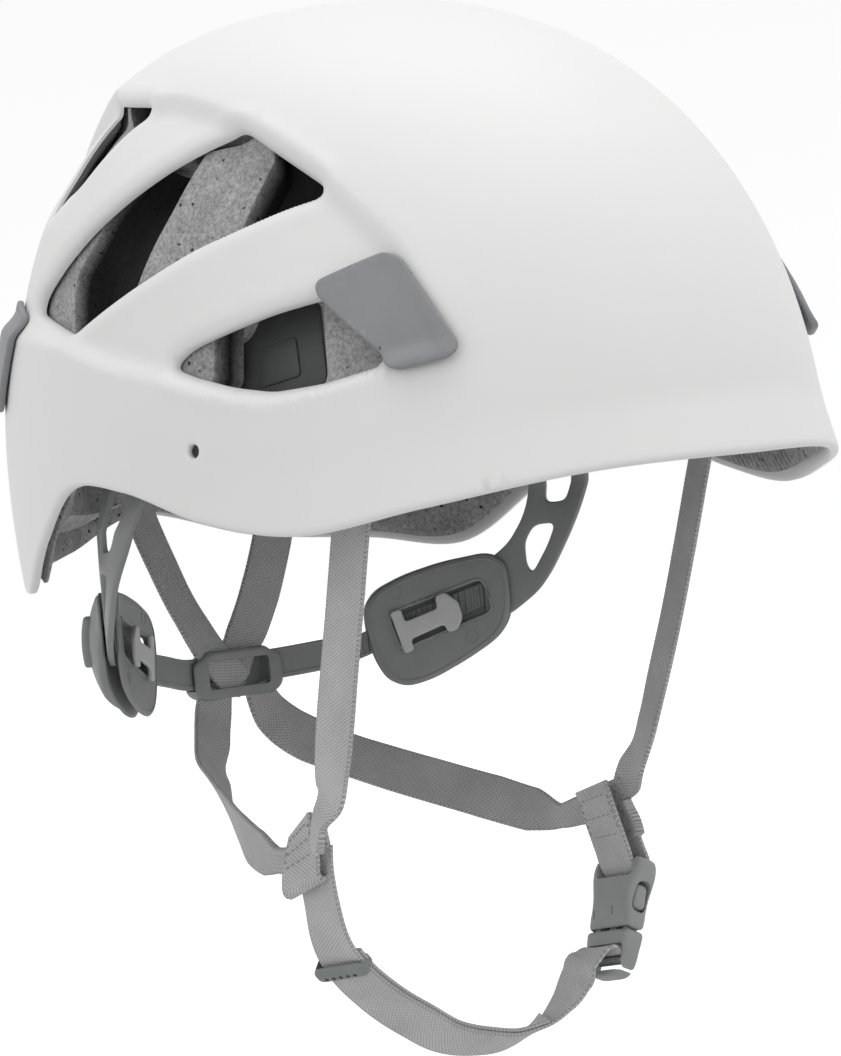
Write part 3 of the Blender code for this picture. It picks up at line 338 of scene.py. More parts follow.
def half_dome_mesh(s0, s1, spacing, loops, holes, lines, fine_rows=()):
    """Triangles over the right half of the dome between s0 and s1.
    loops: list of (phi, s) closed rings that become edges; holes: those to cut out; lines: loose rows of points."""
    PH, SS, D3, con = [], [], [], []
    tree = []

    def take(ph, s, mind, loop=False):
        ph, s = np.asarray(ph, float), np.asarray(s, float)
        ok = (s >= s0 - 1e-9) & (s <= s1 + 1e-9) & (ph >= -1e-9) & (ph <= np.pi + 1e-9)
        p3 = section(ph, s)
        if mind > 0 and tree:
            ok &= nearest(p3, np.vstack(tree)) > mind
        if loop and not ok.all():
            loop = False
        base = sum(len(a) for a in PH)
        ph, s, p3 = ph[ok], s[ok], p3[ok]
        if not len(ph):
            return
        PH.append(ph)
        SS.append(s)
        tree.append(p3)
        if loop:
            n = len(ph)
            con.extend([(base + i, base + (i + 1) % n) for i in range(n)])

    # rim row and top row
    def row(s, sp, edge=False):
        ph = np.linspace(0, np.pi, 400)
        q = section(ph, np.full(400, s))
        L = np.r_[0, np.cumsum(np.linalg.norm(np.diff(q, axis=0), axis=1))]
        n = max(3, int(round(L[-1] / sp)))
        return np.interp(np.linspace(0, L[-1], n + 1), L, ph)

    for s in (s0, s1):
        if s >= 1:
            take([0.0], [1.0], 0)
        else:
            ph = row(s, spacing)
            base = sum(len(a) for a in PH)
            take(ph, np.full(len(ph), s), 0)
            con.extend([(base + i, base + i + 1) for i in range(len(ph) - 1)])
    for ph, s in loops:
        take(ph, s, 0.0, True)
    rim_ph = row(s0, spacing)
    for s in fine_rows:
        if s0 < s < s1:
            take(rim_ph, np.full(len(rim_ph), s), 0.0)
    for ph, s, mind in lines:
        take(ph, s, mind)
    # even rows up to the crown
    ss = np.linspace(s0, s1, 900)
    q = section(np.full(900, 1.7), ss)
    L = np.r_[0, np.cumsum(np.linalg.norm(np.diff(q, axis=0), axis=1))]
    q2 = section(np.full(900, 0.3), ss)
    L2 = np.r_[0, np.cumsum(np.linalg.norm(np.diff(q2, axis=0), axis=1))]
    L = (L + L2) / 2
    n = int(L[-1] / spacing)
    for k in range(1, n):
        s = float(np.interp(L[-1] * k / n, L, ss))
        if len(fine_rows) and s < max(fine_rows) + 0.006:
            continue
        ph = row(s, spacing)
        edge = (np.arange(len(ph)) == 0) | (np.arange(len(ph)) == len(ph) - 1)
        take(ph[edge], np.full(2, s), spacing * 0.35)
        take(ph[~edge], np.full((~edge).sum(), s), spacing * 0.62)
    ph, s = np.concatenate(PH), np.concatenate(SS)
    P = polar(ph, s)
    keep = np.ones(len(P), bool)
    F = cdt(P, con)
    c = P[F].mean(1)
    ok = np.ones(len(F), bool)
    for hp, hs in holes:
        ok &= ~inside(c, polar(hp, hs))
    if s1 < 1:
        ok &= ~(np.abs(s[F] - s1) < 1e-9).all(1)
    # drop slivers on the straight edge
    ok &= ~((P[F][:, :, 0] < 1e-9).all(1))
    F = F[ok]
    F = F[:, ::-1]
    return ph, s, F


def mirror_half(ph, s, F, arrays):
    """Full surface from the right half; points on the symmetry plane are shared."""
    plane = (np.abs(np.sin(ph)) < 1e-7) | (s > 1 - 1e-9)
    n = len(ph)
    m = n + np.cumsum(~plane) - 1
    m[plane] = np.arange(n)[plane]
    F2 = m[F][:, ::-1]
    out = []
    for A in arrays:
        B = A[~plane].copy()
        if B.ndim == 2 and B.shape[1] == 3:
            B[:, 0] *= -1
        out.append(np.concatenate([A, B]))
    return np.vstack([F, F2]), out


# ------------------------------------------------------------------ materials
def new_mat(name):
    m = bpy.data.materials.new(name)
    m.use_nodes = True
    nt = m.node_tree
    b = nt.nodes["Principled BSDF"]
    return m, nt, b


def node(nt, kind, **kw):
    n = nt.nodes.new(kind)
    for k, v in kw.items():
        if k.startswith("i_"):
            n.inputs[k[2:].replace("_", " ")].default_value = v
        else:
            setattr(n, k, v)
    return n


def ramp(nt, src, stops):
    r = nt.nodes.new("ShaderNodeValToRGB")
    while len(r.color_ramp.elements) > 1:
        r.color_ramp.elements.remove(r.color_ramp.elements[-1])
    r.color_ramp.elements[0].position = stops[0][0]
    r.color_ramp.elements[0].color = (*stops[0][1], 1) if isinstance(stops[0][1], tuple) else (stops[0][1],) * 3 + (1,)
    for p, c in stops[1:]:
        e = r.color_ramp.elements.new(p)
        e.color = (*c, 1) if isinstance(c, tuple) else (c,) * 3 + (1,)
    nt.links.new(src, r.inputs[0])
    return r


def noise(nt, scale, detail=3.0, rough=0.55, vec=None):
    n = node(nt, "ShaderNodeTexNoise")
    n.inputs["Scale"].default_value = scale
    n.inputs["Detail"].default_value = detail
    n.inputs["Roughness"].default_value = rough
    if vec is not None:
        nt.links.new(vec, n.inputs["Vector"])
    return n


def coords(nt):
    return nt.nodes.new("ShaderNodeTexCoord").outputs["Object"]


def bump_chain(nt, b, items):
    """items: (height socket, distance in m, strength)."""
    prev = None
    for h, dist, st in items:
        k = node(nt, "ShaderNodeBump")
        k.inputs["Distance"].default_value = dist
        k.inputs["Strength"].default_value = st
        nt.links.new(h, k.inputs["Height"])
        if prev is not None:
            nt.links.new(prev.outputs[0], k.inputs["Normal"])
        prev = k
    nt.links.new(prev.outputs[0], b.inputs["Normal"])


def mix_rgb(nt, fac, a, b, mode='MIX'):
    m = nt.nodes.new("ShaderNodeMix")
    m.data_type = 'RGBA'
    m.blend_type = mode
    for sock, v in ((m.inputs[0], fac), (m.inputs[6], a), (m.inputs[7], b)):
        if isinstance(v, (int, float)):
            sock.default_value = v if sock == m.inputs[0] else (v, v, v, 1)
        elif isinstance(v, tuple):
            sock.default_value = (*v, 1)
        else:
            nt.links.new(v, sock)
    return m.outputs[2]


def math_node(nt, op, a, b=0.0, c=None):
    m = nt.nodes.new("ShaderNodeMath")
    m.operation = op
    for i, v in enumerate((a, b) if c is None else (a, b, c)):
        if isinstance(v, (int, float)):
            m.inputs[i].default_value = v
        else:
            nt.links.new(v, m.inputs[i])
    return m.outputs[0]


def plastic(name, rgb, rough=0.45, grain=1500.0, grain_depth=0.00003, vary=0.05, edge_highlight=0.12, spec=0.5):
    """Moulded plastic: fine spark-eroded grain, slow tone variation, and sharp convex edges painted paler as a painted
    highlight.
    """
    m, nt, b = new_mat(name)
    co = coords(nt)
    slow = noise(nt, 26.0, 3.0, 0.6, co)
    fine = noise(nt, grain, 2.0, 0.6, co)
    mid = noise(nt, 240.0, 4.0, 0.62, co)
    lo = tuple(c * (1 - vary) for c in rgb)
    hi = tuple(min(1, c * (1 + vary)) for c in rgb)
    base = ramp(nt, slow.outputs[0], [(0.35, lo), (0.65, hi)]).outputs[0]
    geo = nt.nodes.new("ShaderNodeNewGeometry")
    # painted highlight: sharp convex edges, found by pointiness, are painted paler and broken up by noise
    edge = ramp(nt, geo.outputs["Pointiness"], [(0.51, 0.0), (0.60, 1.0)]).outputs[0]
    edge = math_node(nt, 'MULTIPLY', edge, math_node(nt, 'MULTIPLY', ramp(nt, mid.outputs[0], [(0.4, 0.2), (0.62, 1.0)]).outputs[0], edge_highlight))
    col = mix_rgb(nt, edge, base, tuple(min(1, c * 1.7 + 0.02) for c in rgb))
    col = mix_rgb(nt, 0.10, col, ramp(nt, mid.outputs[0], [(0.3, 0.55), (0.7, 1.0)]).outputs[0], 'MULTIPLY')
    nt.links.new(col, b.inputs["Base Color"])
    r = math_node(nt, 'MULTIPLY_ADD', mid.outputs[0], 0.16, rough - 0.08)
    nt.links.new(r, b.inputs["Roughness"])
    b.inputs["Specular IOR Level"].default_value = spec
    bump_chain(nt, b, [(fine.outputs[0], grain_depth, 0.5), (mid.outputs[0], 0.00006, 0.16)])
    return m


def shell_material():
    m, nt, b = new_mat("shell_white_mat")
    co = coords(nt)
    slow = noise(nt, 9.0, 3.0, 0.5, co)
    mid = noise(nt, 90.0, 5.0, 0.6, co)
    fine = noise(nt, 2600.0, 2.0, 0.6, co)
    base = ramp(nt, slow.outputs[0], [(0.3, (0.765, 0.765, 0.762)), (0.7, (0.790, 0.790, 0.788))]).outputs[0]
    # a few hairline scuffs and dust specks
    st = node(nt, "ShaderNodeMapping")
    nt.links.new(co, st.inputs[0])
    st.inputs["Rotation"].default_value = (0.4, 0.9, 0.3)
    st.inputs["Scale"].default_value = (30, 600, 30)
    hair = noise(nt, 1.0, 2.0, 0.5, st.outputs[0])
    hmask = ramp(nt, hair.outputs[0], [(0.73, 0.0), (0.76, 1.0)]).outputs[0]
    pm = ramp(nt, noise(nt, 14.0, 2.0, 0.5, co).outputs[0], [(0.55, 0.0), (0.7, 1.0)]).outputs[0]
    scuff = math_node(nt, 'MULTIPLY', math_node(nt, 'MULTIPLY', hmask, pm), 0.05)
    col = mix_rgb(nt, scuff, base, (0.55, 0.55, 0.54))
    nt.links.new(col, b.inputs["Base Color"])
    r = math_node(nt, 'MULTIPLY_ADD', mid.outputs[0], 0.12, 0.42)
    nt.links.new(r, b.inputs["Roughness"])
    b.inputs["Specular IOR Level"].default_value = 0.35
    bump_chain(nt, b, [(fine.outputs[0], 0.00002, 0.35), (mid.outputs[0], 0.00004, 0.10)])
    return m


def foam_material(name, light, dark):
    """Expanded bead foam: beads, speckle and open pits, whose near-black colour is painted shade; the channels
    ('shade' 1) are painted near black, painted shade for the deep recesses.
    """
    m, nt, b = new_mat(name)
    co = coords(nt)
    bead = node(nt, "ShaderNodeTexVoronoi")
    bead.feature = 'DISTANCE_TO_EDGE'
    bead.inputs["Scale"].default_value = 420.0
    nt.links.new(co, bead.inputs["Vector"])
    beadc = node(nt, "ShaderNodeTexVoronoi")
    beadc.inputs["Scale"].default_value = 420.0
    nt.links.new(co, beadc.inputs["Vector"])
    pit = node(nt, "ShaderNodeTexVoronoi")
    pit.inputs["Scale"].default_value = 300.0
    nt.links.new(co, pit.inputs["Vector"])
    # the pits are real hollows, bumped in below, and their near-black colour is painted shade
    pit_and_painted_shade = ramp(nt, pit.outputs["Distance"], [(0.13, 1.0), (0.20, 0.0)]).outputs[0]
    pick = ramp(nt, noise(nt, 170.0, 2.0, 0.5, co).outputs[0], [(0.50, 0.0), (0.56, 1.0)]).outputs[0]
    pit_and_painted_shade = math_node(nt, 'MULTIPLY', pit_and_painted_shade, pick)
    speck = noise(nt, 900.0, 3.0, 0.7, co)
    tone = noise(nt, 130.0, 3.0, 0.6, co)
    sh = node(nt, "ShaderNodeAttribute")
    sh.attribute_name = "shade"
    # painted shade: where 'shade' is 1, the channel floors and walls take the near-black dark colour
    base = mix_rgb(nt, sh.outputs["Fac"], light, dark)
    base = mix_rgb(nt, 0.75, base, ramp(nt, speck.outputs[0], [(0.34, 0.55), (0.5, 1.0), (0.66, 1.3)]).outputs[0], 'MULTIPLY')
    base = mix_rgb(nt, 0.5, base, ramp(nt, tone.outputs[0], [(0.3, 0.55), (0.7, 1.25)]).outputs[0], 'MULTIPLY')
    base = mix_rgb(nt, 0.30, base, ramp(nt, bead.outputs["Distance"], [(0.0, 0.45), (0.10, 1.0)]).outputs[0], 'MULTIPLY')
    # painted shade: the pits are painted near black
    base = mix_rgb(nt, math_node(nt, 'MULTIPLY', pit_and_painted_shade, 0.92), base, (0.006, 0.006, 0.006))
    nt.links.new(base, b.inputs["Base Color"])
    b.inputs["Roughness"].default_value = 0.8
    b.inputs["Specular IOR Level"].default_value = 0.25
    inv = math_node(nt, 'SUBTRACT', 1.0, pit_and_painted_shade)
    bump_chain(nt, b, [(bead.outputs["Distance"], 0.0004, 0.35), (inv, 0.0008, 0.8), (speck.outputs[0], 0.00025, 0.5)])
    return m


def web_material(name, rgb, dark):
    """Woven polyester: cross ribs, warp threads and darker stitched selvedges; 'strap' holds (across, along, half width) in mm."""
    m, nt, b = new_mat(name)
    at = node(nt, "ShaderNodeAttribute")
    at.attribute_name = "strap"
    sep = nt.nodes.new("ShaderNodeSeparateXYZ")
    nt.links.new(at.outputs["Vector"], sep.inputs[0])
    u, v, hw = sep.outputs[0], sep.outputs[1], sep.outputs[2]
    co = coords(nt)
    wob = noise(nt, 420.0, 2.0, 0.6, co)
    vv = math_node(nt, 'MULTIPLY_ADD', wob.outputs[0], 0.35, v)
    # weft ribs, each about 1.2 mm, broken up by the warp threads about 0.55 mm wide
    cell = math_node(nt, 'FLOOR', math_node(nt, 'DIVIDE', u, 0.62))
    shift = math_node(nt, 'MULTIPLY', math_node(nt, 'MODULO', math_node(nt, 'ADD', cell, 100.0), 2.0), 0.6)
    rib = math_node(nt, 'SINE', math_node(nt, 'MULTIPLY', math_node(nt, 'ADD', vv, shift), 2 * math.pi / 1.2))
    warp = math_node(nt, 'COSINE', math_node(nt, 'MULTIPLY', u, 2 * math.pi / 0.62))
    h = math_node(nt, 'MULTIPLY_ADD', rib, 0.5, math_node(nt, 'MULTIPLY', warp, 0.22))
    hh = math_node(nt, 'MULTIPLY_ADD', h, 0.6, 0.5)
    # painted shade and highlight: the weave's grooves are painted darker and its crests paler, following the rib
    # height h
    gap = ramp(nt, hh, [(0.12, 0.55), (0.45, 0.95), (0.85, 1.08)]).outputs[0]
    base = mix_rgb(nt, 1.0, rgb, gap, 'MULTIPLY')
    au = math_node(nt, 'ABSOLUTE', u)
    edge = math_node(nt, 'SUBTRACT', hw, au)
    em = ramp(nt, math_node(nt, 'MULTIPLY', edge, 0.1), [(0.0, 1.0), (0.055, 1.0), (0.085, 0.0)]).outputs[0]
    dots = math_node(nt, 'SINE', math_node(nt, 'MULTIPLY', vv, 2 * math.pi / 1.5))
    dm = ramp(nt, math_node(nt, 'MULTIPLY_ADD', dots, 0.5, 0.5), [(0.35, 0.25), (0.75, 1.0)]).outputs[0]
    base = mix_rgb(nt, math_node(nt, 'MULTIPLY', math_node(nt, 'MULTIPLY', em, dm), 0.34), base, dark)
    slow = noise(nt, 60.0, 3.0, 0.6, co)
    base = mix_rgb(nt, 0.6, base, ramp(nt, slow.outputs[0], [(0.3, 0.82), (0.7, 1.1)]).outputs[0], 'MULTIPLY')
    fuzz = noise(nt, 3800.0, 2.0, 0.7, co)
    base = mix_rgb(nt, 0.5, base, ramp(nt, fuzz.outputs[0], [(0.3, 0.7), (0.7, 1.2)]).outputs[0], 'MULTIPLY')
    nt.links.new(base, b.inputs["Base Color"])
    b.inputs["Roughness"].default_value = 0.78
    b.inputs["Specular IOR Level"].default_value = 0.3
    b.inputs["Sheen Weight"].default_value = 0.25
    b.inputs["Sheen Roughness"].default_value = 0.4
    bump_chain(nt, b, [(h, 0.00012, 0.75), (fuzz.outputs[0], 0.00004, 0.5)])
    return m


def knit_material(name, rgb):
    m, nt, b = new_mat(name)
    co = coords(nt)
    vo = node(nt, "ShaderNodeTexVoronoi")
    vo.inputs["Scale"].default_value = 900.0
    nt.links.new(co, vo.inputs["Vector"])
    tone = noise(nt, 160.0, 3.0, 0.6, co)
    base = ramp(nt, vo.outputs["Distance"], [(0.0, tuple(c * 1.5 for c in rgb)), (0.6, rgb), (1.0, tuple(c * 0.4 for c in rgb))]).outputs[0]
    base = mix_rgb(nt, 0.5, base, ramp(nt, tone.outputs[0], [(0.3, 0.6), (0.7, 1.3)]).outputs[0], 'MULTIPLY')
    nt.links.new(base, b.inputs["Base Color"])
    b.inputs["Roughness"].default_value = 0.95
    b.inputs["Sheen Weight"].default_value = 0.5
    bump_chain(nt, b, [(vo.outputs["Distance"], 0.0003, 0.8)])
    return m


M_SHELL = shell_material()
# the second colour of each foam is the painted shade of its channels
M_EPP = foam_material("epp_foam_mat", (0.36, 0.36, 0.36), (0.013, 0.013, 0.014))
M_EPS = foam_material("eps_foam_mat", (0.35, 0.35, 0.35), (0.012, 0.012, 0.013))
M_CLIP = plastic("clip_grey_mat", (0.245, 0.25, 0.255), 0.5)
M_NYLON = plastic("nylon_grey_mat", (0.235, 0.243, 0.24), 0.48, vary=0.08)
M_PLATE = plastic("headband_mat", (0.10, 0.103, 0.102), 0.5)
M_LOCK = plastic("lock_grey_mat", (0.52, 0.52, 0.52), 0.5)
M_BUCK = plastic("buckle_grey_mat", (0.29, 0.30, 0.295), 0.42, vary=0.08, edge_highlight=0.15)
M_KEEP = plastic("keeper_grey_mat", (0.20, 0.22, 0.215), 0.45)
M_RIVET = plastic("rivet_mat", (0.012, 0.012, 0.012), 0.5)
M_PIN = plastic("pin_nylon_mat", (0.1, 0.1, 0.1), 0.4)
M_WEBF = web_material("webbing_light_mat", (0.56, 0.56, 0.56), (0.08, 0.08, 0.08))
M_WEBR = web_material("webbing_dark_mat", (0.47, 0.47, 0.47), (0.07, 0.07, 0.07))
M_KNIT = knit_material("pad_fabric_mat", (0.05, 0.05, 0.054))
M_THREAD = plastic("thread_mat", (0.30, 0.30, 0.30), 0.8, 3000.0)

# ------------------------------------------------------------------ outer shell
VENT_LARGE = [(-30, 105.2), (-61, 86), (-60.5, 82.8), (-52, 80.8), (-38, 76.4), (-23, 71.8), (-2, 63.9), (28, 52.6),
              (57.0, 61.2), (54, 65.6), (38.4, 74.4), (24, 82.2), (8.8, 89.8), (-5.4, 96.4), (-17.6, 101.2)]
VENT_LOWER = [(-18.4, 40.2), (-25.4, 44.8), (-40.2, 48.9), (-53, 52.2), (-68.5, 55), (-84.5, 35), (-69, 31.6), (-53.6, 30.6), (-40.7, 33),
              (-26, 37.2)]
VENT_SLOT = [(40.5, 120.6), (12, 117), (12.2, 114.2), (20, 110), (26.6, 105), (38, 97.4), (61.6, 87.0), (61.8, 94.4), (57.6, 103.8), (52.4, 112.2)]
EDGE_HOLE = (-30.3, 16.6)
VENTS = [ccw(resample(rounded(VENT_LARGE, 3.4), 1.15)), ccw(resample(rounded(VENT_LOWER, 2.8), 1.1)),
         ccw(resample(rounded(VENT_SLOT, 2.2), 1.0))]
t = np.linspace(0, 2 * np.pi, 25)[:-1]
HOLE = ccw(np.stack([EDGE_HOLE[0] + 1.9 * np.cos(t), EDGE_HOLE[1] + 1.9 * np.sin(t)], -1))
LIP_W, LIP_D = 3.3, 2.3


def build_shell():
    loops, lines, dist_sets = [], [], []
    for L in VENTS:
        ph, s = side_params(L[:, 0], L[:, 1])
        loops.append((ph, s))
        dist_sets.append(dome(ph, s))
        for d, mind in ((0.35, 0.2), (0.9, 0.3), (1.6, 0.4), (2.4, 0.5), (3.3, 0.6), (4.6, 0.9)):
            Q = offset_loop(L, -d)
            ph, s = side_params(Q[:, 0], Q[:, 1])
            lines.append((ph, s, mind))
    hp, hs = side_params(HOLE[:, 0], HOLE[:, 1])
    loops.append((hp, hs))
    hole3 = dome(hp, hs)
    for d in (0.3, 0.8, 1.8):
        Q = offset_loop(HOLE, -d)
        ph, s = side_params(Q[:, 0], Q[:, 1])
        lines.append((ph, s, 0.2))
    ys = np.arange(-112, 121, 2.0)
    for o in (-1.2, 0.0, 0.6, 1.3, 2.1, 2.9, 3.7, 4.6, 5.8):
        ph, s = top_params(-(panel_half(ys) + o), ys)
        lines.append((ph, s, 0.55))
    for o in (-1.2, 0.0, 0.9, 1.9, 3.0, 4.2, 5.5, 6.9, 8.6):
        ph, s = side_params(ys[ys > -109], step_height(ys[ys > -109]) + o)
        lines.append((ph, s, 0.6))
    ph, s, F = half_dome_mesh(0.0, 1.0, 2.7, loops, loops, lines,
                              (0.0005, 0.0014, 0.003, 0.0055, 0.009, 0.014, 0.021))
    p = dome(ph, s)
    d = np.full(len(p), 99.0)
    for Q in dist_sets:
        d = np.minimum(d, nearest(p, np.vstack([Q, (Q + np.roll(Q, 1, 0)) / 2])))
    dh = nearest(p, np.vstack([hole3, (hole3 + np.roll(hole3, 1, 0)) / 2]))
    t = np.clip(1 - d / LIP_W, 0, 1)
    lip = LIP_D * (1 - np.sqrt(np.clip(1 - t**2, 0, 1)))
    th = np.clip(1 - dh / 0.8, 0, 1)
    lip += 0.6 * (1 - np.sqrt(np.clip(1 - th**2, 0, 1)))
    # a low swelling round each opening, as the moulding has
    lip -= 0.35 * np.exp(-((d - 4.6) / 1.6) ** 2)
    dr = np.linalg.norm(section(ph, s) - section(ph, np.zeros_like(s)), axis=1)
    tr = np.clip(1 - dr / 1.5, 0, 1)
    roll = 1.15 * (1 - np.sqrt(np.clip(1 - tr**2, 0, 1)))
    inner = SHELL_WALL + 0.35 * (1 - smooth(0.2, 3.4, d)) - 0.5 * np.clip(1 - dr / 0.8, 0, 1)
    # the rear edge of the slot vent is moulded thin
    thin = smooth(38, 48, p[:, 1]) * smooth(82, 90, p[:, 2]) * (1 - smooth(3, 7, d))
    lip = lip * (1 - 0.75 * thin)
    inner = inner * (1 - thin) + 1.45 * thin
    Vo = dome(ph, s, lip + roll)
    Vi = dome(ph, s, inner)
    mid = (s > 1 - 1e-9) | (np.abs(np.sin(ph)) < 1e-7)
    for A in (Vo, Vi):
        A[mid, 0] = 0.0
    F, (Vo, Vi) = mirror_half(ph, s, F, [Vo, Vi])
    V, faces = close_shell(Vo, Vi, F)
    add("shell", V, faces, M_SHELL, "helmet", ["outer_shell"], 50.0)


build_shell()
for sx in (-1, 1):
    hp, hn = side_solve([EDGE_HOLE[0]], [EDGE_HOLE[1]])
    hp, hn = hp[0] * [1 if sx < 0 else -1, 1, 1], hn[0] * [1 if sx < 0 else -1, 1, 1]
    q = np.linspace(0, 2 * np.pi, 33)[:-1]
    e1 = np.cross(hn, [0, 0, 1.0])
    e1 /= np.linalg.norm(e1)
    e2 = np.cross(hn, e1)
    V = [hp - hn * 1.5]
    for r, d in ((0.9, 1.52), (1.35, 1.45), (1.62, 1.7), (1.7, 2.2), (1.7, 3.4)):
        V += [hp - hn * d + (e1 * math.cos(a) + e2 * math.sin(a)) * r for a in q]
    V.append(hp - hn * 3.4)
    F = [(0, 1 + i, 1 + (i + 1) % 32) for i in range(32)]
    for k in range(4):
        F += [(1 + 32 * k + i, 1 + 32 * (k + 1) + i, 1 + 32 * (k + 1) + (i + 1) % 32, 1 + 32 * k + (i + 1) % 32) for i in range(32)]
    F += [(129 + i, 161, 129 + (i + 1) % 32) for i in range(32)]
    add("edge_rivet_" + ("right" if sx < 0 else "left"), np.array(V), F, M_RIVET, "helmet", (), 50, recalc=True)

# ------------------------------------------------------------------ foam liners with ribs and channels
CH_A = [(-17, 106), (-12, 92), (-9, 84), (-4, 75), (-1, 69), (3, 60), (8, 48), (30, 46), (34, 61), (34, 69), (30, 73.5), (26, 77),
        (20, 86), (8, 96)]
CH_B = [(-39, 107), (-39.6, 95), (-38.6, 88), (-37.2, 82), (-35, 70), (-63, 73), (-70, 83), (-62, 96), (-50, 104)]
CH_C = [(2, 124), (28, 127), (31.5, 119), (26, 107.5), (19, 98), (4, 104)]
CH_D = [(-30.5, 60), (-31, 28), (-64.5, 24), (-65.5, 33), (-62.5, 57), (-60, 62)]


def channel_depth(p, deep):
    yz = p[:, 1:]
    d = np.zeros(len(p))
    shade = np.zeros(len(p))
    for k, L in enumerate(CHANNEL_LOOPS):
        ins = inside(yz, L)
        dense = np.vstack([L + (np.roll(L, -1, 0) - L) * t for t in np.arange(0, 1, 0.125)])
        dist = nearest(np.c_[yz, np.zeros(len(yz))], np.c_[dense, np.zeros(len(dense))])
        sd = np.where(ins, dist, -dist)
        d = np.maximum(d, deep[k] * smooth(-0.25, 0.9 + 0.35 * (k == 0), sd))
        # painted shade: 'shade' marks the channel floors and walls, which the foam material paints near black
        shade = np.maximum(shade, smooth(-0.35, 0.5, sd))
    return d, shade


CHANNEL_LOOPS = [ccw(resample(rounded(c, 4.0), 0.7)) for c in (CH_A, CH_B, CH_C, CH_D)]


def build_liner(name, node_name, s0, s1, thick, extra, mat, deep, through, skirt=1.0):
    loops, lines, holes = [], [], []
    for k, L in enumerate(CHANNEL_LOOPS):
        for d, mind in ((0.0, 0.3), (0.9, 0.3), (-0.35, 0.25), (0.45, 0.25), (2.4, 0.8), (-1.6, 0.8)):
            Q = offset_loop(L, d)
            ph, s = side_params(Q[:, 0], Q[:, 1], DEPTH0)
            if k in through and d == 0.45:
                loops.append((ph, s))
                holes.append((ph, s))
            else:
                lines.append((ph, s, mind))
    ph, s, F = half_dome_mesh(s0, s1, 3.0, loops, holes, lines)
    vent_pts = []
    for L in VENTS:
        a, b = side_params(L[:, 0], L[:, 1])
        vent_pts.append(dome(a, b))
    p = dome(ph, s)
    dv = np.full(len(p), 99.0)
    for L, Q in zip(VENTS, vent_pts):
        dist = nearest(p, Q)
        ins = inside(p[:, 1:], L) & (p[:, 0] < 0)
        dv = np.minimum(dv, np.where(ins, 0.0, dist))
    base = DEPTH0 + extra + 0.0 * dv
    ch, shade = channel_depth(dome(ph, s, DEPTH0), deep)
    ch = np.where(dv < 9.0, ch, ch * (1 - smooth(9, 14, dv)))
    bottom = DEPTH0 + extra + thick * (skirt + (1 - skirt) * smooth(0.040, 0.060, s))
    e0 = np.linalg.norm(section(ph, s) - section(ph, np.full_like(s, s0)), axis=1)
    te = np.clip(1 - e0 / 2.5, 0, 1)
    edge = 2.2 * (1 - np.sqrt(np.clip(1 - te**2, 0, 1)))
    outer = np.minimum(base + ch + edge, bottom - 2.0)
    Vo = dome(ph, s, outer)
    Vi = dome(ph, s, bottom - edge * 0.6)
    mid = (s > 1 - 1e-9) | (np.abs(np.sin(ph)) < 1e-7)
    for A in (Vo, Vi):
        A[mid, 0] = 0.0
    F, (Vo, Vi, sh) = mirror_half(ph, s, F, [Vo, Vi, shade])
    V, faces = close_shell(Vo, Vi, F)
    add(name, V, faces, mat, "helmet", [node_name], 50.0, {"shade": np.concatenate([sh, np.zeros_like(sh)])})


build_liner("liner_side", "side_liner", 0.0055, 0.441, SIDE_LINER, 0.0, M_EPP, (9.4, 9.4, 9.4, 9.4), (3,), 0.27)
build_liner("liner_crown", "crown_liner", 0.459, 1.0, CROWN_LINER, 0.25, M_EPS, (15.5, 15.5, 15.5, 15.5), ())


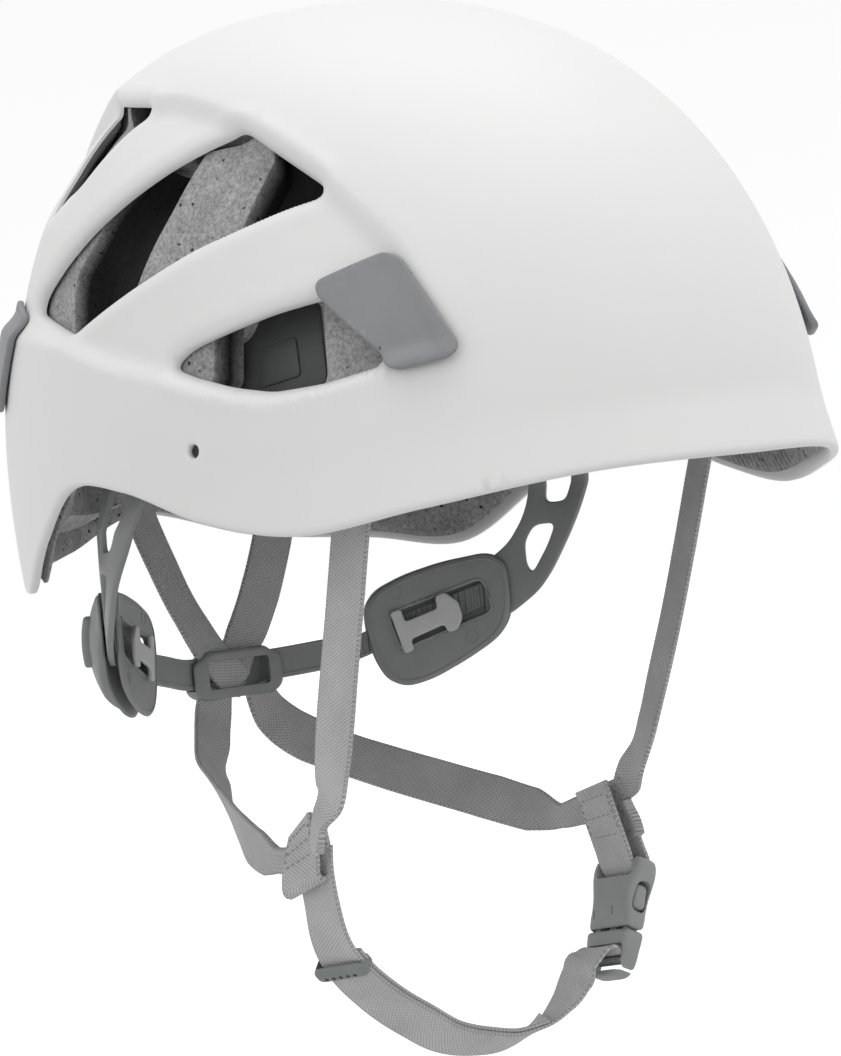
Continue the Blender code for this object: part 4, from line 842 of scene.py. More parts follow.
# ------------------------------------------------------------------ plates bent to a surface
def plate(outline, holes, fmap, off0, off1, bevel=0.5, step=0.9, grid=3.0, radius=1.2, hole_radius=1.0, raw=False):
    """Closed plate with rounded edges from a 2D outline with holes; fmap(u, v, off) places it."""
    def prep(L, r, f):
        return f(np.asarray(L, float)) if raw else f(resample(rounded(L, r), step, 1))
    loops = [prep(outline, radius, ccw)] + [prep(h, hole_radius, cw) for h in holes]
    prof = [(0.0, 1.0), (0.134, 0.5), (0.5, 0.134), (1.0, 0.0)]
    rings = [[offset_loop(L, a * bevel) for L in loops] for a, _ in prof]
    inner = rings[-1]
    P = np.vstack(inner)
    con, base = [], 0
    for L in inner:
        n = len(L)
        con += [(base + i, base + (i + 1) % n) for i in range(n)]
        base += n
    nloop = len(P)
    lo, hi = P.min(0), P.max(0)
    gx, gy = np.meshgrid(np.arange(lo[0] + grid / 2, hi[0], grid), np.arange(lo[1] + grid / 2, hi[1], grid))
    G = np.stack([gx.ravel(), gy.ravel()], -1)
    G[::2, 0] += 1e-3
    ok = inside(G, inner[0])
    for L in inner[1:]:
        ok &= ~inside(G, L)
    G = G[ok]
    if len(G):
        G = G[nearest(G, P) > grid * 0.55]
    P = np.vstack([P, G]) if len(G) else P
    F = cdt(P, con)
    c = P[F].mean(1)
    ok = inside(c, inner[0])
    for L in inner[1:]:
        ok &= ~inside(c, L)
    F = F[ok]
    o0 = off0 if callable(off0) else (lambda u, v: np.full(len(u), float(off0)))
    o1 = off1 if callable(off1) else (lambda u, v: np.full(len(u), float(off1)))
    V, faces = [], []
    count = 0
    index = {}
    for side in (0, 1):
        for k in range(3):
            R = np.vstack(rings[k])
            drop = prof[k][1] * bevel
            o = o0(R[:, 0], R[:, 1]) + drop if side == 0 else o1(R[:, 0], R[:, 1]) - drop
            V.append(fmap(R[:, 0], R[:, 1], o))
            index[(side, k)] = count
            count += len(R)
        o = o0(P[:, 0], P[:, 1]) if side == 0 else o1(P[:, 0], P[:, 1])
        V.append(fmap(P[:, 0], P[:, 1], o))
        index[(side, 3)] = count
        count += len(P)
    starts, b = [], 0
    for L in loops:
        starts.append((b, len(L)))
        b += len(L)
    for side in (0, 1):
        for k in range(3):
            A, B = index[(side, k)], index[(side, k + 1)]
            for st, n in starts:
                for i in range(n):
                    j = (i + 1) % n
                    q = (A + st + i, A + st + j, B + st + j, B + st + i)
                    faces.append(q if side else q[::-1])
        f = F + index[(side, 3)]
        faces += [tuple(x) for x in (f if side else f[:, ::-1])]
    A, B = index[(0, 0)], index[(1, 0)]
    for st, n in starts:
        for i in range(n):
            j = (i + 1) % n
            faces.append((A + st + i, A + st + j, B + st + j, B + st + i))
    return np.vstack(V), faces


def side_map(mirror):
    def f(y, z, off):
        P, N = side_solve(y, z, 0.0)
        p = P + N * np.asarray(off)[:, None]
        if mirror:
            p = p * [-1, 1, 1]
        return p
    return f


# ------------------------------------------------------------------ lamp clips
CLIP_OUTLINE = [(-64.9, 58.4), (-80.5, 64.4), (-85.0, 63.2), (-93, 51.6), (-102.4, 38.0), (-101.4, 34.4), (-90, 32.2), (-86.5, 34.2), (-65.8, 54.6)]
REAR_CLIP = [(60, 60), (75, 65.6), (78, 64), (85, 51), (90.5, 38), (89.6, 34.8), (79, 33), (76, 34.8), (60.6, 56)]
for side, mir in (("right", False), ("left", True)):
    for nm, out, c0, dd in (("front", CLIP_OUTLINE, (-75, 60.5), (-0.66, -0.75)), ("rear", REAR_CLIP, (67.5, 60.8), (0.66, -0.75))):
        def run(y, z):
            return smooth(0, 30, (y - c0[0]) * dd[0] + (z - c0[1]) * dd[1])

        fa, fb = (np.array(v) for v in (((-85.0, 63.2), (-102.4, 38.0)) if nm == "front" else ((78, 64), (90.5, 38))))
        fd = (fb - fa) / np.linalg.norm(fb - fa)

        lift = (0.9, 1.1) if nm == "front" else (0.4, 0.3)

        def fold(y, z):
            return smooth(3.4, 0.4, np.abs((y - fa[0]) * fd[1] - (z - fa[1]) * fd[0]))

        V, F = plate(out, [], side_map(mir), lambda y, z: lift[0] + lift[1] * run(y, z) - 0.4 * fold(y, z),
                     lambda y, z: lift[0] + 2.1 + (lift[1] + 0.1) * run(y, z) - 0.9 * fold(y, z), 0.8, 0.8, 1.3, 3.6)
        add("%s_clip_%s_plate" % (nm, side), V, F, M_CLIP, "helmet", ["%s_clip_%s" % (nm, side)], 60, recalc=True)

# ------------------------------------------------------------------ cradle
PLAN = [(0, 93), (9, 92.6), (17, 90.5), (28, 84.5), (39, 77), (50, 69.5), (58, 63.5), (67, 56), (76, 46.5), (83.4, 35.5),
        (87.2, 25), (88.6, 14), (88.8, 4)]
PLAN_A = np.array(PLAN, float)
PLAN_L = np.r_[0, np.cumsum(np.linalg.norm(np.diff(PLAN_A, axis=0), axis=1))]
plan_xy = spline(PLAN_L, PLAN_A, False)


def cradle_point(u, z, off, side):
    u = np.atleast_1d(np.asarray(u, float))
    z = np.atleast_1d(np.asarray(z, float))
    au = np.abs(u)
    p = plan_xy(au)
    e = 0.05
    t = plan_xy(au + e) - plan_xy(np.maximum(au - e, 0))
    t /= np.linalg.norm(t, axis=1, keepdims=True) + 1e-12
    n = np.stack([-t[:, 1], t[:, 0]], -1)
    n = np.where(((n * p).sum(1) < 0)[:, None], -n, n)
    lean = -0.34 * np.maximum(0, z + 4) * smooth(94, 108, au)
    o = np.asarray(off, float) + lean
    q = p + n * o[:, None] if np.ndim(o) else p + n * o
    sx = side * np.where(u < 0, -1, 1)
    return np.stack([sx * q[:, 0], q[:, 1], z], -1)


def cradle_map(sx):
    if sx > 0:
        return lambda u, v, off: cradle_point(u, v, np.asarray(off), sx)

    def f(u, v, off):
        u = np.asarray(u, float)
        k = smooth(20, 42, u)
        return cradle_point(u, np.asarray(v) + 2.0 * k * (1 - smooth(94, 108, u)), np.asarray(off) + 2.6 * k * (1 - smooth(112, 124, u)), sx)
    return f


GUIDE_Z = -52.4
band_mid = spline((0, 16, 30, 43, 50, 92), (-51.6, -51.6, -50.6, -49.2, -46.8, -34.0), False)
PAD_OUT = [(86, -23.5), (71.5, -25.3), (59.5, -28.2), (50, -32.2), (46, -37), (46, -45), (48, -54), (51.5, -60.6), (57, -63),
           (65.5, -61.4), (77.5, -56), (86.5, -51), (91, -45.5), (92.6, -38), (92, -27)]
PAD_WIN = [(53.5, -40.2), (83.5, -31.8), (86, -41.6), (56.5, -50.6)]
ARM_OUT = [(84.0, -46.5), (92.0, -43.4), (101.4, -37), (106, -31.6), (110.4, -25), (115, -17.8), (118.8, -11.4), (122.6, -4), (126, 6), (127, 16),
           (124, 26.5), (117, 28.5), (108, 27), (103.5, 20), (102.2, 10), (102.0, 0), (100.6, -8), (98.2, -14), (93.0, -21.5), (84.0, -27.5)]
ARM_WINDOWS = [[(107.6, 12), (118, 11), (119, 4), (117, -2.5), (113.6, -9.6), (106.2, -9.8), (107.3, -3)],
               [(101.6, -16.4), (109.2, -16.2), (106, -22.6), (99.8, -31.5), (98.2, -28.5), (98.2, -21.4)]]
PIVOT_U = 113.5
LOCK = [(53.4, -39.2), (57.0, -38.4), (58.0, -42.6), (68.6, -39.4), (68.2, -35.6), (71.4, -34.6), (75.6, -38), (76.6, -43),
        (74.6, -46.6), (71.4, -47.2), (70.4, -44.6), (59.4, -48.2), (60.2, -51.6), (57.0, -52.6)]


def circle(c, r, n=28):
    t = np.linspace(0, 2 * np.pi, n + 1)[:-1]
    return np.stack([c[0] + r * np.cos(t), c[1] + r * np.sin(t)], -1)


def strip(us, prof, fn):
    """Loft: prof(u) gives the closed section as (v, off) rows; fn(u, v, off) places it."""
    V, n = [], None
    for u in us:
        c = prof(u)
        n = len(c)
        V.append(fn(np.full(n, u), c[:, 0], c[:, 1]))
    F = []
    for i in range(len(us) - 1):
        for j in range(n):
            k = (j + 1) % n
            F.append((i * n + j, i * n + k, (i + 1) * n + k, (i + 1) * n + j))
    F.append(tuple(range(n))[::-1])
    F.append(tuple((len(us) - 1) * n + i for i in range(n)))
    return np.vstack(V), F


for side, sx in (("right", -1), ("left", 1)):
    org = None
    cm = cradle_map(sx)
    pad_body, lock_body = "pad_" + side, "lock_" + side
    # inner half of the adjuster pad: face with rounded edges, bevelled window
    cpu, cpv = 69.0, -43.0

    def crown(u, v):
        return 0.0 * u

    V, F = plate(PAD_OUT, [PAD_WIN], cm, -PAD_THICK / 2 - 0.7, -BAND_THICK / 2 - 0.9, 0.85, 0.9, 2.5, 4.0, 1.6)
    add("pad_inner_" + side, V, F, M_NYLON, pad_body, ["adjuster_pad_" + side], 60, recalc=True)
    # moulded rim standing round the face, and two ejector marks
    rim_out = offset_loop(ccw(resample(rounded(PAD_OUT, 4.0), 0.9)), 1.0)
    rim_in = offset_loop(ccw(resample(rounded(PAD_OUT, 4.0), 0.9)), 1.7)
    V, F = plate(rim_out, [rim_in], cm, -PAD_THICK / 2 - 0.9, -PAD_THICK / 2 - 0.55, 0.16, grid=3.0, raw=True)
    add("pad_rim_" + side, V, F, M_NYLON, pad_body, (), 60, recalc=True)
    wl = ccw(resample(rounded(PAD_WIN, 1.6), 0.9))
    V, F = plate(offset_loop(wl, -1.2), [offset_loop(wl, -0.2)], cm, -PAD_THICK / 2 - 1.0, -PAD_THICK / 2 - 0.5, 0.2, grid=3.0, raw=True)
    add("pad_window_frame_" + side, V, F, M_NYLON, pad_body, (), 60, recalc=True)
    for k, (cu, cv) in enumerate(((56.0, -33.6), (79.0, -49.5))):
        V, F = plate(circle((cu, cv), 2.1), [circle((cu, cv), 1.7)], cm, -PAD_THICK / 2 - 0.85, -PAD_THICK / 2 - 0.5, 0.08, grid=3.0, raw=True)
        add("pad_mark_%s_%d" % (side, k), V, F, M_NYLON, pad_body, (), 60, recalc=True)
    # outer half with its finger bar
    def bulge(u, v):
        r = np.clip(1 - ((u - 67.5) / 25) ** 2 - ((v + 40) / 19) ** 2, 0, 1)
        return PAD_THICK / 2 + 0.3 + 6.4 * r ** 0.8

    V, F = plate(PAD_OUT, [], cm, BAND_THICK / 2 + 0.9, bulge, 0.8, 0.9, 2.5, 4.0)
    add("pad_outer_" + side, V, F, M_NYLON, pad_body, ["pad_cover_" + side], 60, recalc=True)
    bar = [(77.5, -30.5), (82, -30.5), (83.5, -44.5), (79.5, -46.0)]
    V, F = plate(bar, [], cm, lambda u, v: bulge(u, v) - 0.8, lambda u, v: bulge(u, v) + 1.9, 0.8, 0.5, 1.5, 1.6)
    add("pad_finger_bar_" + side, V, F, M_NYLON, pad_body, (), 60, recalc=True)
    # sliding lock
    V, F = plate(LOCK, [], cm, -PAD_THICK / 2 - 2.9, -PAD_THICK / 2 - 1.6, 0.45, 0.5, 2.0, 0.9)
    add("lock_" + side + "_slider", V, F, M_LOCK, lock_body, ["lock_slider_" + side], 60, recalc=True)
    # ladder arm with hinge eye
    eye = circle((PIVOT_U, 20.0), 3.1)
    loops_out = ccw(resample(rounded(ARM_OUT, 3.5), 0.9))
    V, F = plate(loops_out, [resample(rounded(w, 2.2), 0.7) for w in ARM_WINDOWS] + [eye], cm, -ARM_THICK / 2, ARM_THICK / 2, 0.6, grid=2.6, raw=True)
    add("arm_" + side, V, F, M_NYLON, "cradle", ["rear_arm_" + side], 60, ride=False, recalc=True)
    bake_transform(bpy.data.objects["arm_" + side], "cradle", pad_body, tuple(cradle_point(104, -8, 0, sx)[0] * MM), tuple(cradle_point(96, -36, 0, sx)[0] * MM))

    # nape band, plain by the guide and toothed towards the pads
    def prof(u):
        zc = float(band_mid(u))
        slope = (float(band_mid(u + 1)) - float(band_mid(u - 1))) / 2
        c = 1 / math.hypot(1, slope)
        h = (BAND_HEIGHT / 2 + (3.6 - BAND_HEIGHT / 2) * float(smooth(42.0, 43.5, np.array(u)))) / c
        tooth = 0.0
        if u > 40.5:
            tooth = 0.42 * (1 if (u * 0.5263) % 1.0 < 0.5 else 0)
        a, b = -BAND_THICK / 2 + 0.1 - (tooth - 0.3 if u > 40.5 else 0.0), BAND_THICK / 2
        r = 0.35
        return np.array([(zc - h, a + r), (zc - h + r, a), (zc - h * 0.72, a), (zc - h * 0.7, a + 0.3), (zc + h * 0.7, a + 0.3), (zc + h * 0.72, a),
                         (zc + h - r, a), (zc + h, a + r), (zc + h, b - r), (zc + h - r, b), (zc - h + r, b), (zc - h, b - r)])

    us = np.r_[np.arange(14.6, 40.4, 1.2), np.arange(40.5, 84.1, 0.475)]
    V, F = strip(us, prof, cm)
    add("band_" + side, V, F, M_NYLON, "cradle", ["nape_band_" + side], 35, recalc=True)

# headband plates seen through the lower vents
PLATE_OUT = [(29.5, 23), (28.5, 33), (12, 37), (-14, 41), (-33, 50), (-37, 60), (-56, 60), (-60, 34), (-34, 28), (-14, 23), (8, 22)]
PD = DEPTH0 + SIDE_LINER + 3.0
for side, mir in (("right", False), ("left", True)):
    fm = side_map(mir)
    V, F = plate(PLATE_OUT, [], fm, -PD - 1.5, -PD, 0.4, 1.5, 5.0, 3.0)
    add("headband_" + side, V, F, M_PLATE, "helmet", ["headband_plate_" + side], 60, recalc=True)
    V, F = plate([(-36, 34), (-37, 46), (-49, 49), (-51, 37)], [], fm, -PD + 0.1, -PD + 0.6, 0.2, 1.0, 3.0, 1.0)
    add("headband_slider_" + side, V, F, M_PLATE, "helmet", (), 60, recalc=True)


# ------------------------------------------------------------------ blocks with cuts, for the guide and the buckle
def frame_from(origin, xdir, ydir):
    x = Vector(xdir).normalized()
    y = Vector(ydir)
    y = (y - x * y.dot(x)).normalized()
    z = x.cross(y)
    m = Matrix.Identity(4)
    for i in range(3):
        m[i][0], m[i][1], m[i][2] = x[i], y[i], z[i]
    m.translation = Vector(origin)
    return m


def block_ob(size, fr, bevel=0.0, segs=3):
    bm = bmesh.new()
    bmesh.ops.create_cube(bm, size=1.0)
    bmesh.ops.scale(bm, vec=[v * MM for v in size], verts=bm.verts)
    if bevel:
        bmesh.ops.bevel(bm, geom=bm.edges[:], offset=bevel * MM, segments=segs, affect='EDGES', profile=0.5)
    me = bpy.data.meshes.new("b")
    bm.to_mesh(me)
    bm.free()
    f = fr.copy()
    f.translation = f.translation * MM
    me.transform(f)
    ob = bpy.data.objects.new("b", me)
    scene.collection.objects.link(ob)
    return ob


def rod_ob(radius, depth, fr, segs=24):
    bm = bmesh.new()
    bmesh.ops.create_cone(bm, cap_ends=True, segments=segs, radius1=radius * MM, radius2=radius * MM, depth=depth * MM)
    me = bpy.data.meshes.new("r")
    bm.to_mesh(me)
    bm.free()
    f = fr.copy()
    f.translation = f.translation * MM
    me.transform(f)
    ob = bpy.data.objects.new("r", me)
    scene.collection.objects.link(ob)
    return ob


def mesh_ob(V, F):
    me = bpy.data.meshes.new("m")
    me.from_pydata((np.asarray(V) * MM).tolist(), [], [tuple(int(i) for i in f) for f in F])
    bm = bmesh.new()
    bm.from_mesh(me)
    bmesh.ops.recalc_face_normals(bm, faces=bm.faces)
    bm.to_mesh(me)
    bm.free()
    ob = bpy.data.objects.new("m", me)
    scene.collection.objects.link(ob)
    return ob


def bake(name, ob, ops, bevel=0.0, segs=2):
    """Apply Booleans and an edge rounding, and drop the tools."""
    for tool, op in ops:
        m = ob.modifiers.new("bool", 'BOOLEAN')
        m.operation = op
        m.solver = 'EXACT'
        m.object = tool
    if bevel:
        m = ob.modifiers.new("edge", 'BEVEL')
        m.width = bevel * MM
        m.segments = segs
        m.limit_method = 'ANGLE'
        m.angle_limit = math.radians(50)
        m.use_clamp_overlap = True
    bpy.context.view_layer.update()
    dg = bpy.context.evaluated_depsgraph_get()
    me = bpy.data.meshes.new_from_object(ob.evaluated_get(dg))
    me.name = name
    for tool, _ in ops:
        bpy.data.objects.remove(tool, do_unlink=True)
    bpy.data.objects.remove(ob, do_unlink=True)
    res = bpy.data.objects.new(name, me)
    scene.collection.objects.link(res)
    return res


G_Y = 91.4
T = Matrix.Translation


def plane_map(origin, ex, ey, en):
    o, ex, ey, en = (np.array(v, float) for v in (origin, ex, ey, en))
    return lambda u, v, off: o + np.outer(u, ex) + np.outer(v, ey) + np.outer(np.asarray(off), en)


gm = plane_map((0, G_Y, GUIDE_Z - 0.3), (1, 0, 0), (0, 0, 1), (0, -1, 0))
GUIDE_OUT = [(-17.5, 4.6), (-13.6, 5.6), (-11.5, 7.5), (11.5, 7.5), (13.6, 5.6), (17.5, 4.6), (17.5, -5.0), (13.8, -7.5), (-13.8, -7.5), (-17.5, -5.0)]
V, F = plate(GUIDE_OUT, [], gm, -3.2, 3.2, 1.3, 0.8, 3.0, 2.2)
guide = mesh_ob(V, F)
tools = [(block_ob((25.6, 4.4, 30), T(Vector((0, G_Y, GUIDE_Z)))), 'DIFFERENCE'),
         (block_ob((24.0, 8, 8.6), T(Vector((0, G_Y - 4.6, GUIDE_Z - 0.3))), 1.2), 'DIFFERENCE')]
for sx in (-1, 1):
    tools.append((block_ob((20, 3.9, 10.5), T(Vector((sx * 23.6, G_Y - 0.45, GUIDE_Z + 0.8)))), 'DIFFERENCE'))
guide = bake("guide", guide, tools, 0.35, 2)
dress(guide, M_NYLON, "cradle", ["strap_guide"], 50)


# ------------------------------------------------------------------ webbing
def web_section(w, th):
    """Closed section of flat webbing (a, b) in mm, with rounded selvedges."""
    h = w / 2
    a = np.r_[np.linspace(-h + 0.55, h - 0.55, 13)]
    top = np.stack([a, np.full(13, th / 2)], -1)
    top[[0, 1, 11, 12], 1] += 0.03
    right = np.array([(h - 0.22, th * 0.44), (h, th * 0.2), (h, -th * 0.2), (h - 0.22, -th * 0.44)])
    return np.vstack([top, right, top[::-1] * [1, -1], -right])


def web(name, path, widths, mat, body=None, nodes=(), width=WEB_WIDTH, thick=1.25, step=0.4, lift=0.0, cup=0.0, ripple=0.05,
        t0=0.0, t1=1.0, shear=False, side=0.0):
    path = np.array(path, float)
    widths = np.array(widths, float)
    if widths.ndim == 1:
        widths = np.repeat(widths[None], len(path), 0)
    L = np.r_[0, np.cumsum(np.linalg.norm(np.diff(path, axis=0), axis=1))]
    fine = np.linspace(0, L[-1], max(40, int(L[-1] / 0.2)))
    Pf = spline(L, path, False)(fine)
    Wf = spline(L, widths, False)(fine)
    # true arc length
    S = np.r_[0, np.cumsum(np.linalg.norm(np.diff(Pf, axis=0), axis=1))]
    n = max(12, int((t1 - t0) * S[-1] / step))
    q = np.linspace(t0 * S[-1], t1 * S[-1], n)
    P = np.stack([np.interp(q, S, Pf[:, k]) for k in range(3)], -1)
    W = np.stack([np.interp(q, S, Wf[:, k]) for k in range(3)], -1)
    Tn = np.gradient(P, q, axis=0)
    Tn /= np.linalg.norm(Tn, axis=1, keepdims=True)
    if not shear:
        W -= Tn * (W * Tn).sum(1, keepdims=True)
    W /= np.linalg.norm(W, axis=1, keepdims=True)
    N = np.cross(Tn, W)
    N /= np.linalg.norm(N, axis=1, keepdims=True)
    wd = np.full(n, float(width)) if np.ndim(width) == 0 else np.interp(q, np.interp(L, fine, S), np.array(width, float))
    V, at = [], []
    m = None
    for i in range(n):
        c = web_section(wd[i], thick * (1 + max(0.0, WEB_WIDTH - wd[i]) * 0.11))
        m = len(c)
        rib = 1 + ripple * math.sin(2 * math.pi * q[i] / 1.2)
        a, b = c[:, 0], c[:, 1] * rib + lift + cup * (1 - (2 * c[:, 0] / wd[i]) ** 2)
        a = a * (1 + 0.004 * math.sin(2 * math.pi * q[i] / 1.2))
        V.append(P[i] + np.outer(a + side, W[i]) + np.outer(b, N[i]))
        at.append(np.stack([a, np.full(m, q[i]), np.full(m, wd[i] / 2)], -1))
    F = []
    idx = np.arange(m)
    nx = (idx + 1) % m
    for i in range(n - 1):
        o = i * m
        F += list(zip((o + idx).tolist(), (o + nx).tolist(), (o + m + nx).tolist(), (o + m + idx).tolist()))
    F.append(tuple(range(m))[::-1])
    F.append(tuple((n - 1) * m + i for i in range(m)))
    V = np.vstack(V)
    ob = add(name, V, F, mat, body, nodes, 60, {"strap": np.vstack(at)}, ride=body is not None, recalc=True)
    return ob, (P, W, N, Tn, q, wd)


def stitches(name, lines, mat, body, r=0.17, length=1.5, gap=0.75):
    """Rows of sewing thread: short raised loops along each line of (points, normals)."""
    V, F = [], []
    for P, N in lines:
        P, N = np.array(P, float), np.array(N, float)
        L = np.r_[0, np.cumsum(np.linalg.norm(np.diff(P, axis=0), axis=1))]
        s = 0.3
        while s + length < L[-1]:
            ts = np.linspace(s, s + length, 5)
            c = np.stack([np.interp(ts, L, P[:, k]) for k in range(3)], -1)
            nn = np.stack([np.interp(ts, L, N[:, k]) for k in range(3)], -1)
            nn /= np.linalg.norm(nn, axis=1, keepdims=True)
            up = np.array([-0.08, 0.12, 0.18, 0.12, -0.08])
            c = c + nn * up[:, None]
            d = c[-1] - c[0]
            d /= np.linalg.norm(d)
            sd = np.cross(d, nn[2])
            base = len(V)
            for i in range(5):
                rr = r * (0.7 if i in (0, 4) else 1.0)
                for k in range(6):
                    a = math.pi * k / 3
                    V.append(c[i] + sd * rr * math.cos(a) + nn[i] * rr * math.sin(a))
            for i in range(4):
                for k in range(6):
                    j = (k + 1) % 6
                    F.append((base + i * 6 + k, base + i * 6 + j, base + (i + 1) * 6 + j, base + (i + 1) * 6 + k))
            F.append(tuple(base + k for k in range(6))[::-1])
            F.append(tuple(base + 24 + k for k in range(6)))
            s += length + gap
    if V:
        add(name, np.array(V), F, mat, body, (), 60, recalc=True)


def mirror_x(pts):
    return [(-p[0], p[1], p[2]) for p in pts]


FRONT = [(-66.2, -60.5, 20), (-66.6, -56.5, 7), (-66.1, -51.2, -8.3), (-65.1, -44.8, -27.3), (-64.0, -38.2, -46.0), (-62.4, -31.0, -65.3)]
FRONT_R = FRONT + [(-61.4, -27.0, -75.7), (-60.9, -24.2, -83.6), (-61.2, -19.6, -89.8), (-61.4, -18.0, -94.4), (-60.9, -16.8, -98.6)]
FRONT_L = mirror_x(FRONT) + [(60.6, -27.6, -76.5), (60.6, -22.6, -85.5), (61.0, -17.4, -92.0), (61.6, -12.6, -97.4), (61.6, -10.6, -101.6)]
W_RIGHT = [(0.0, -1, 0)] * 5 + [(0.0, -1, 0), (-0.07, -1, 0), (-0.17, -0.98, 0), (-0.30, -0.95, 0.1), (-0.35, -0.93, 0.1), (-0.35, -0.93, 0.1)]
W_LEFT = [(-0.37, -0.93, 0)] * 5 + [(-0.37, -0.93, 0), (-0.40, -0.92, 0), (-0.42, -0.91, 0), (-0.20, -0.96, 0.15), (-0.1, -0.95, 0.3), (-0.1, -0.95, 0.3)]
web("strap_front_right", FRONT_R, W_RIGHT, M_WEBF, "helmet", ["front_strap_right"], width=[15, 15, 15, 15, 15, 15, 15, 14.6, 10, 8, 5], cup=0.15)
web("strap_front_left", FRONT_L, W_LEFT, M_WEBF, "helmet", ["front_strap_left"], width=[15, 15, 15, 15, 15, 15, 15, 14.5, 13.5, 8, 4], cup=0.15)
web("strap_tail_left", [(62.2, -12.4, -101), (62.4, -14.4, -106), (61.6, -16.4, -111.5)], [(-0.5, -0.85, 0), (-0.45, -0.88, 0), (-0.4, -0.9, 0)], M_WEBF, "helmet",
    width=[11, 12, 12], thick=2.0)

REAR_UP = [(-34, 93.6, 17), (-29.6, 94.4, 5), (-25, 94.6, -7), (-20.9, 94.4, -17.4), (-15.8, 94.0, -28.4), (-9.6, 92.9, -38.5),
           (-4.4, 92.0, -44.6), (-1.0, 91.8, -50.5), (2.2, 91.8, -56), (4.6, 91.8, -60.5)]
REAR_UP_R = [(-34.4, 93.6, 17), (-30.0, 94.4, 5), (-25.6, 94.6, -7), (-21.4, 94.4, -17.4), (-16.9, 94.0, -28.4), (-12.2, 93.2, -38.5),
             (-8.6, 92.4, -45.2), (-4.2, 91.9, -50.8), (0.2, 91.8, -56), (3.4, 91.8, -60.5)]
Y_SHIFT = {"right": (0, 0, -0.1, -0.2, -0.5, -1.15, -1.3, -1.3, -1.3, -1.3), "left": (0, 0, 0, 0, 0.1, 0.5, 0.6, 0.6, 0.6, 0.6)}
REAR_TOP = [(-8.6, 91.0, -57.0), (-9.6, 90.4, -61.5), (-11.4, 89.4, -66.0), (-14.2, 86.8, -70.5), (-18.9, 82.6, -75.2), (-25.1, 74.1, -80.3),
            (-33.5, 60.3, -86.6), (-41.2, 45.4, -92.3), (-48.0, 31.4, -97.4), (-53.0, 17.5, -100.8)]
REAR_LOW = {"right": REAR_TOP + [(-55.8, 7.6, -102.2), (-57.2, 0.4, -102.2)],
            "left": mirror_x(REAR_TOP[:-1]) + [(53.0, 18.5, -101.8), (55.8, 9.0, -104.0), (57.4, 1.0, -102.4), (57.8, -4.5, -101.6)]}
LOW_WIDTH = {"right": [12, 12.5, 14, 15, 15, 15, 15, 15, 15, 13, 7.5, 8], "left": [12, 12.5, 14, 15, 15, 15, 15, 15, 15, 13.5, 7.5, 9, 10.5]}
for side, sx in (("right", -1), ("left", 1)):
    pts = [(-sx * p[0], p[1] + d, p[2]) for p, d in zip(REAR_UP_R if sx < 0 else REAR_UP, Y_SHIFT[side])]
    tw = 0.33 if sx < 0 else 0.0
    ob, _ = web("strap_rear_upper_" + side, pts, [(1.0, tw * f, 0) for f in (1, 1, 1, 1, 1, 0.7, 0.3, 0, 0, 0)], M_WEBR, None, ["rear_strap_upper_" + side],
                [15, 15, 15, 15, 15, 14.2, 12.6, 12.4, 12.0, 11.6], t1=0.945 if sx < 0 else 0.965)
    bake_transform(ob)
    pts = REAR_LOW[side]
    wd = [(sx * 0.8, 0.2, 0.5), (sx * 0.78, 0.15, 0.55), (sx * 0.74, 0.1, 0.6), (sx * 0.68, 0.1, 0.66), (sx * 0.6, 0.05, 0.74), (sx * 0.55, 0.3, 0.78)]
    wd += [(sx * 0.5, 0.32, 0.8), (sx * 0.48, 0.3, 0.8), (sx * 0.45, 0.3, 0.82), (sx * 0.3, 0.2, 0.9)] if sx > 0 else [(-0.3, 0.3, 0.9), (-0.1, 0.28, 0.95), (0, 0.2, 0.98)]
    wd += [(0, 0.05, 1)] * (len(pts) - len(wd))
    ob, _ = web("strap_rear_lower_" + side, pts, wd, M_WEBR, None, ["rear_strap_lower_" + side], LOW_WIDTH[side])
    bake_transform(ob)


def web_loop(name, node_name, top, centre, wdir, gap, wdir_low=None, body="helmet", thick=1.3, wmid=None):
    r = gap / 2 + WEB_THICK / 2
    top = np.array(top, float)
    centre = np.array(centre, float)
    a = (centre - top) / np.linalg.norm(centre - top)
    bottom = centre + a * r
    w = np.array(wdir, float)
    w /= np.linalg.norm(w)
    n = np.cross(a, w)
    n /= np.linalg.norm(n)
    path = [top + n * r * 0.9, top + (bottom - top) * 0.35 + n * r, top + (bottom - top) * 0.7 + n * r]
    for k in range(7):
        t = math.pi * k / 6
        path.append(bottom - a * r + n * r * math.cos(t) + a * r * math.sin(t))
    path += [top + (bottom - top) * 0.7 - n * r, top + (bottom - top) * 0.35 - n * r, top - n * r * 0.9]
    wl = w if wdir_low is None else np.array(wdir_low, float)
    ws = [w, w * 0.5 + wl * 0.5] + [wl] * (len(path) - 4) + [w * 0.5 + wl * 0.5, w]
    ob, (P, W, N, Tn, q, wd) = web(name, path, ws, M_WEBF, body, [node_name], thick=thick, ripple=0.07, shear=True)
    # a box of stitching across both runs of the loop
    lines = []
    for lo, hi in ((0.06, 0.26), (0.74, 0.94)):
        i0, i1 = int(lo * len(P)), int(hi * len(P))
        for e in (-0.84, 0.84):
            for sg in (1, -1):
                lines.append((P[i0:i1] + W[i0:i1] * (wd[i0:i1] / 2 * e)[:, None] + N[i0:i1] * thick * 0.52 * sg, N[i0:i1] * sg))
        for i in (i0, (i0 + i1) // 2, i1):
            for sg in (1, -1):
                s = np.linspace(-0.8, 0.8, 12)
                lines.append((P[i] + np.outer(s * wd[i] / 2, W[i]) + N[i] * thick * 0.52 * sg, np.repeat(N[i][None] * sg, 12, 0)))
    stitches(name + "_stitching", lines, M_THREAD, body)
    return ob


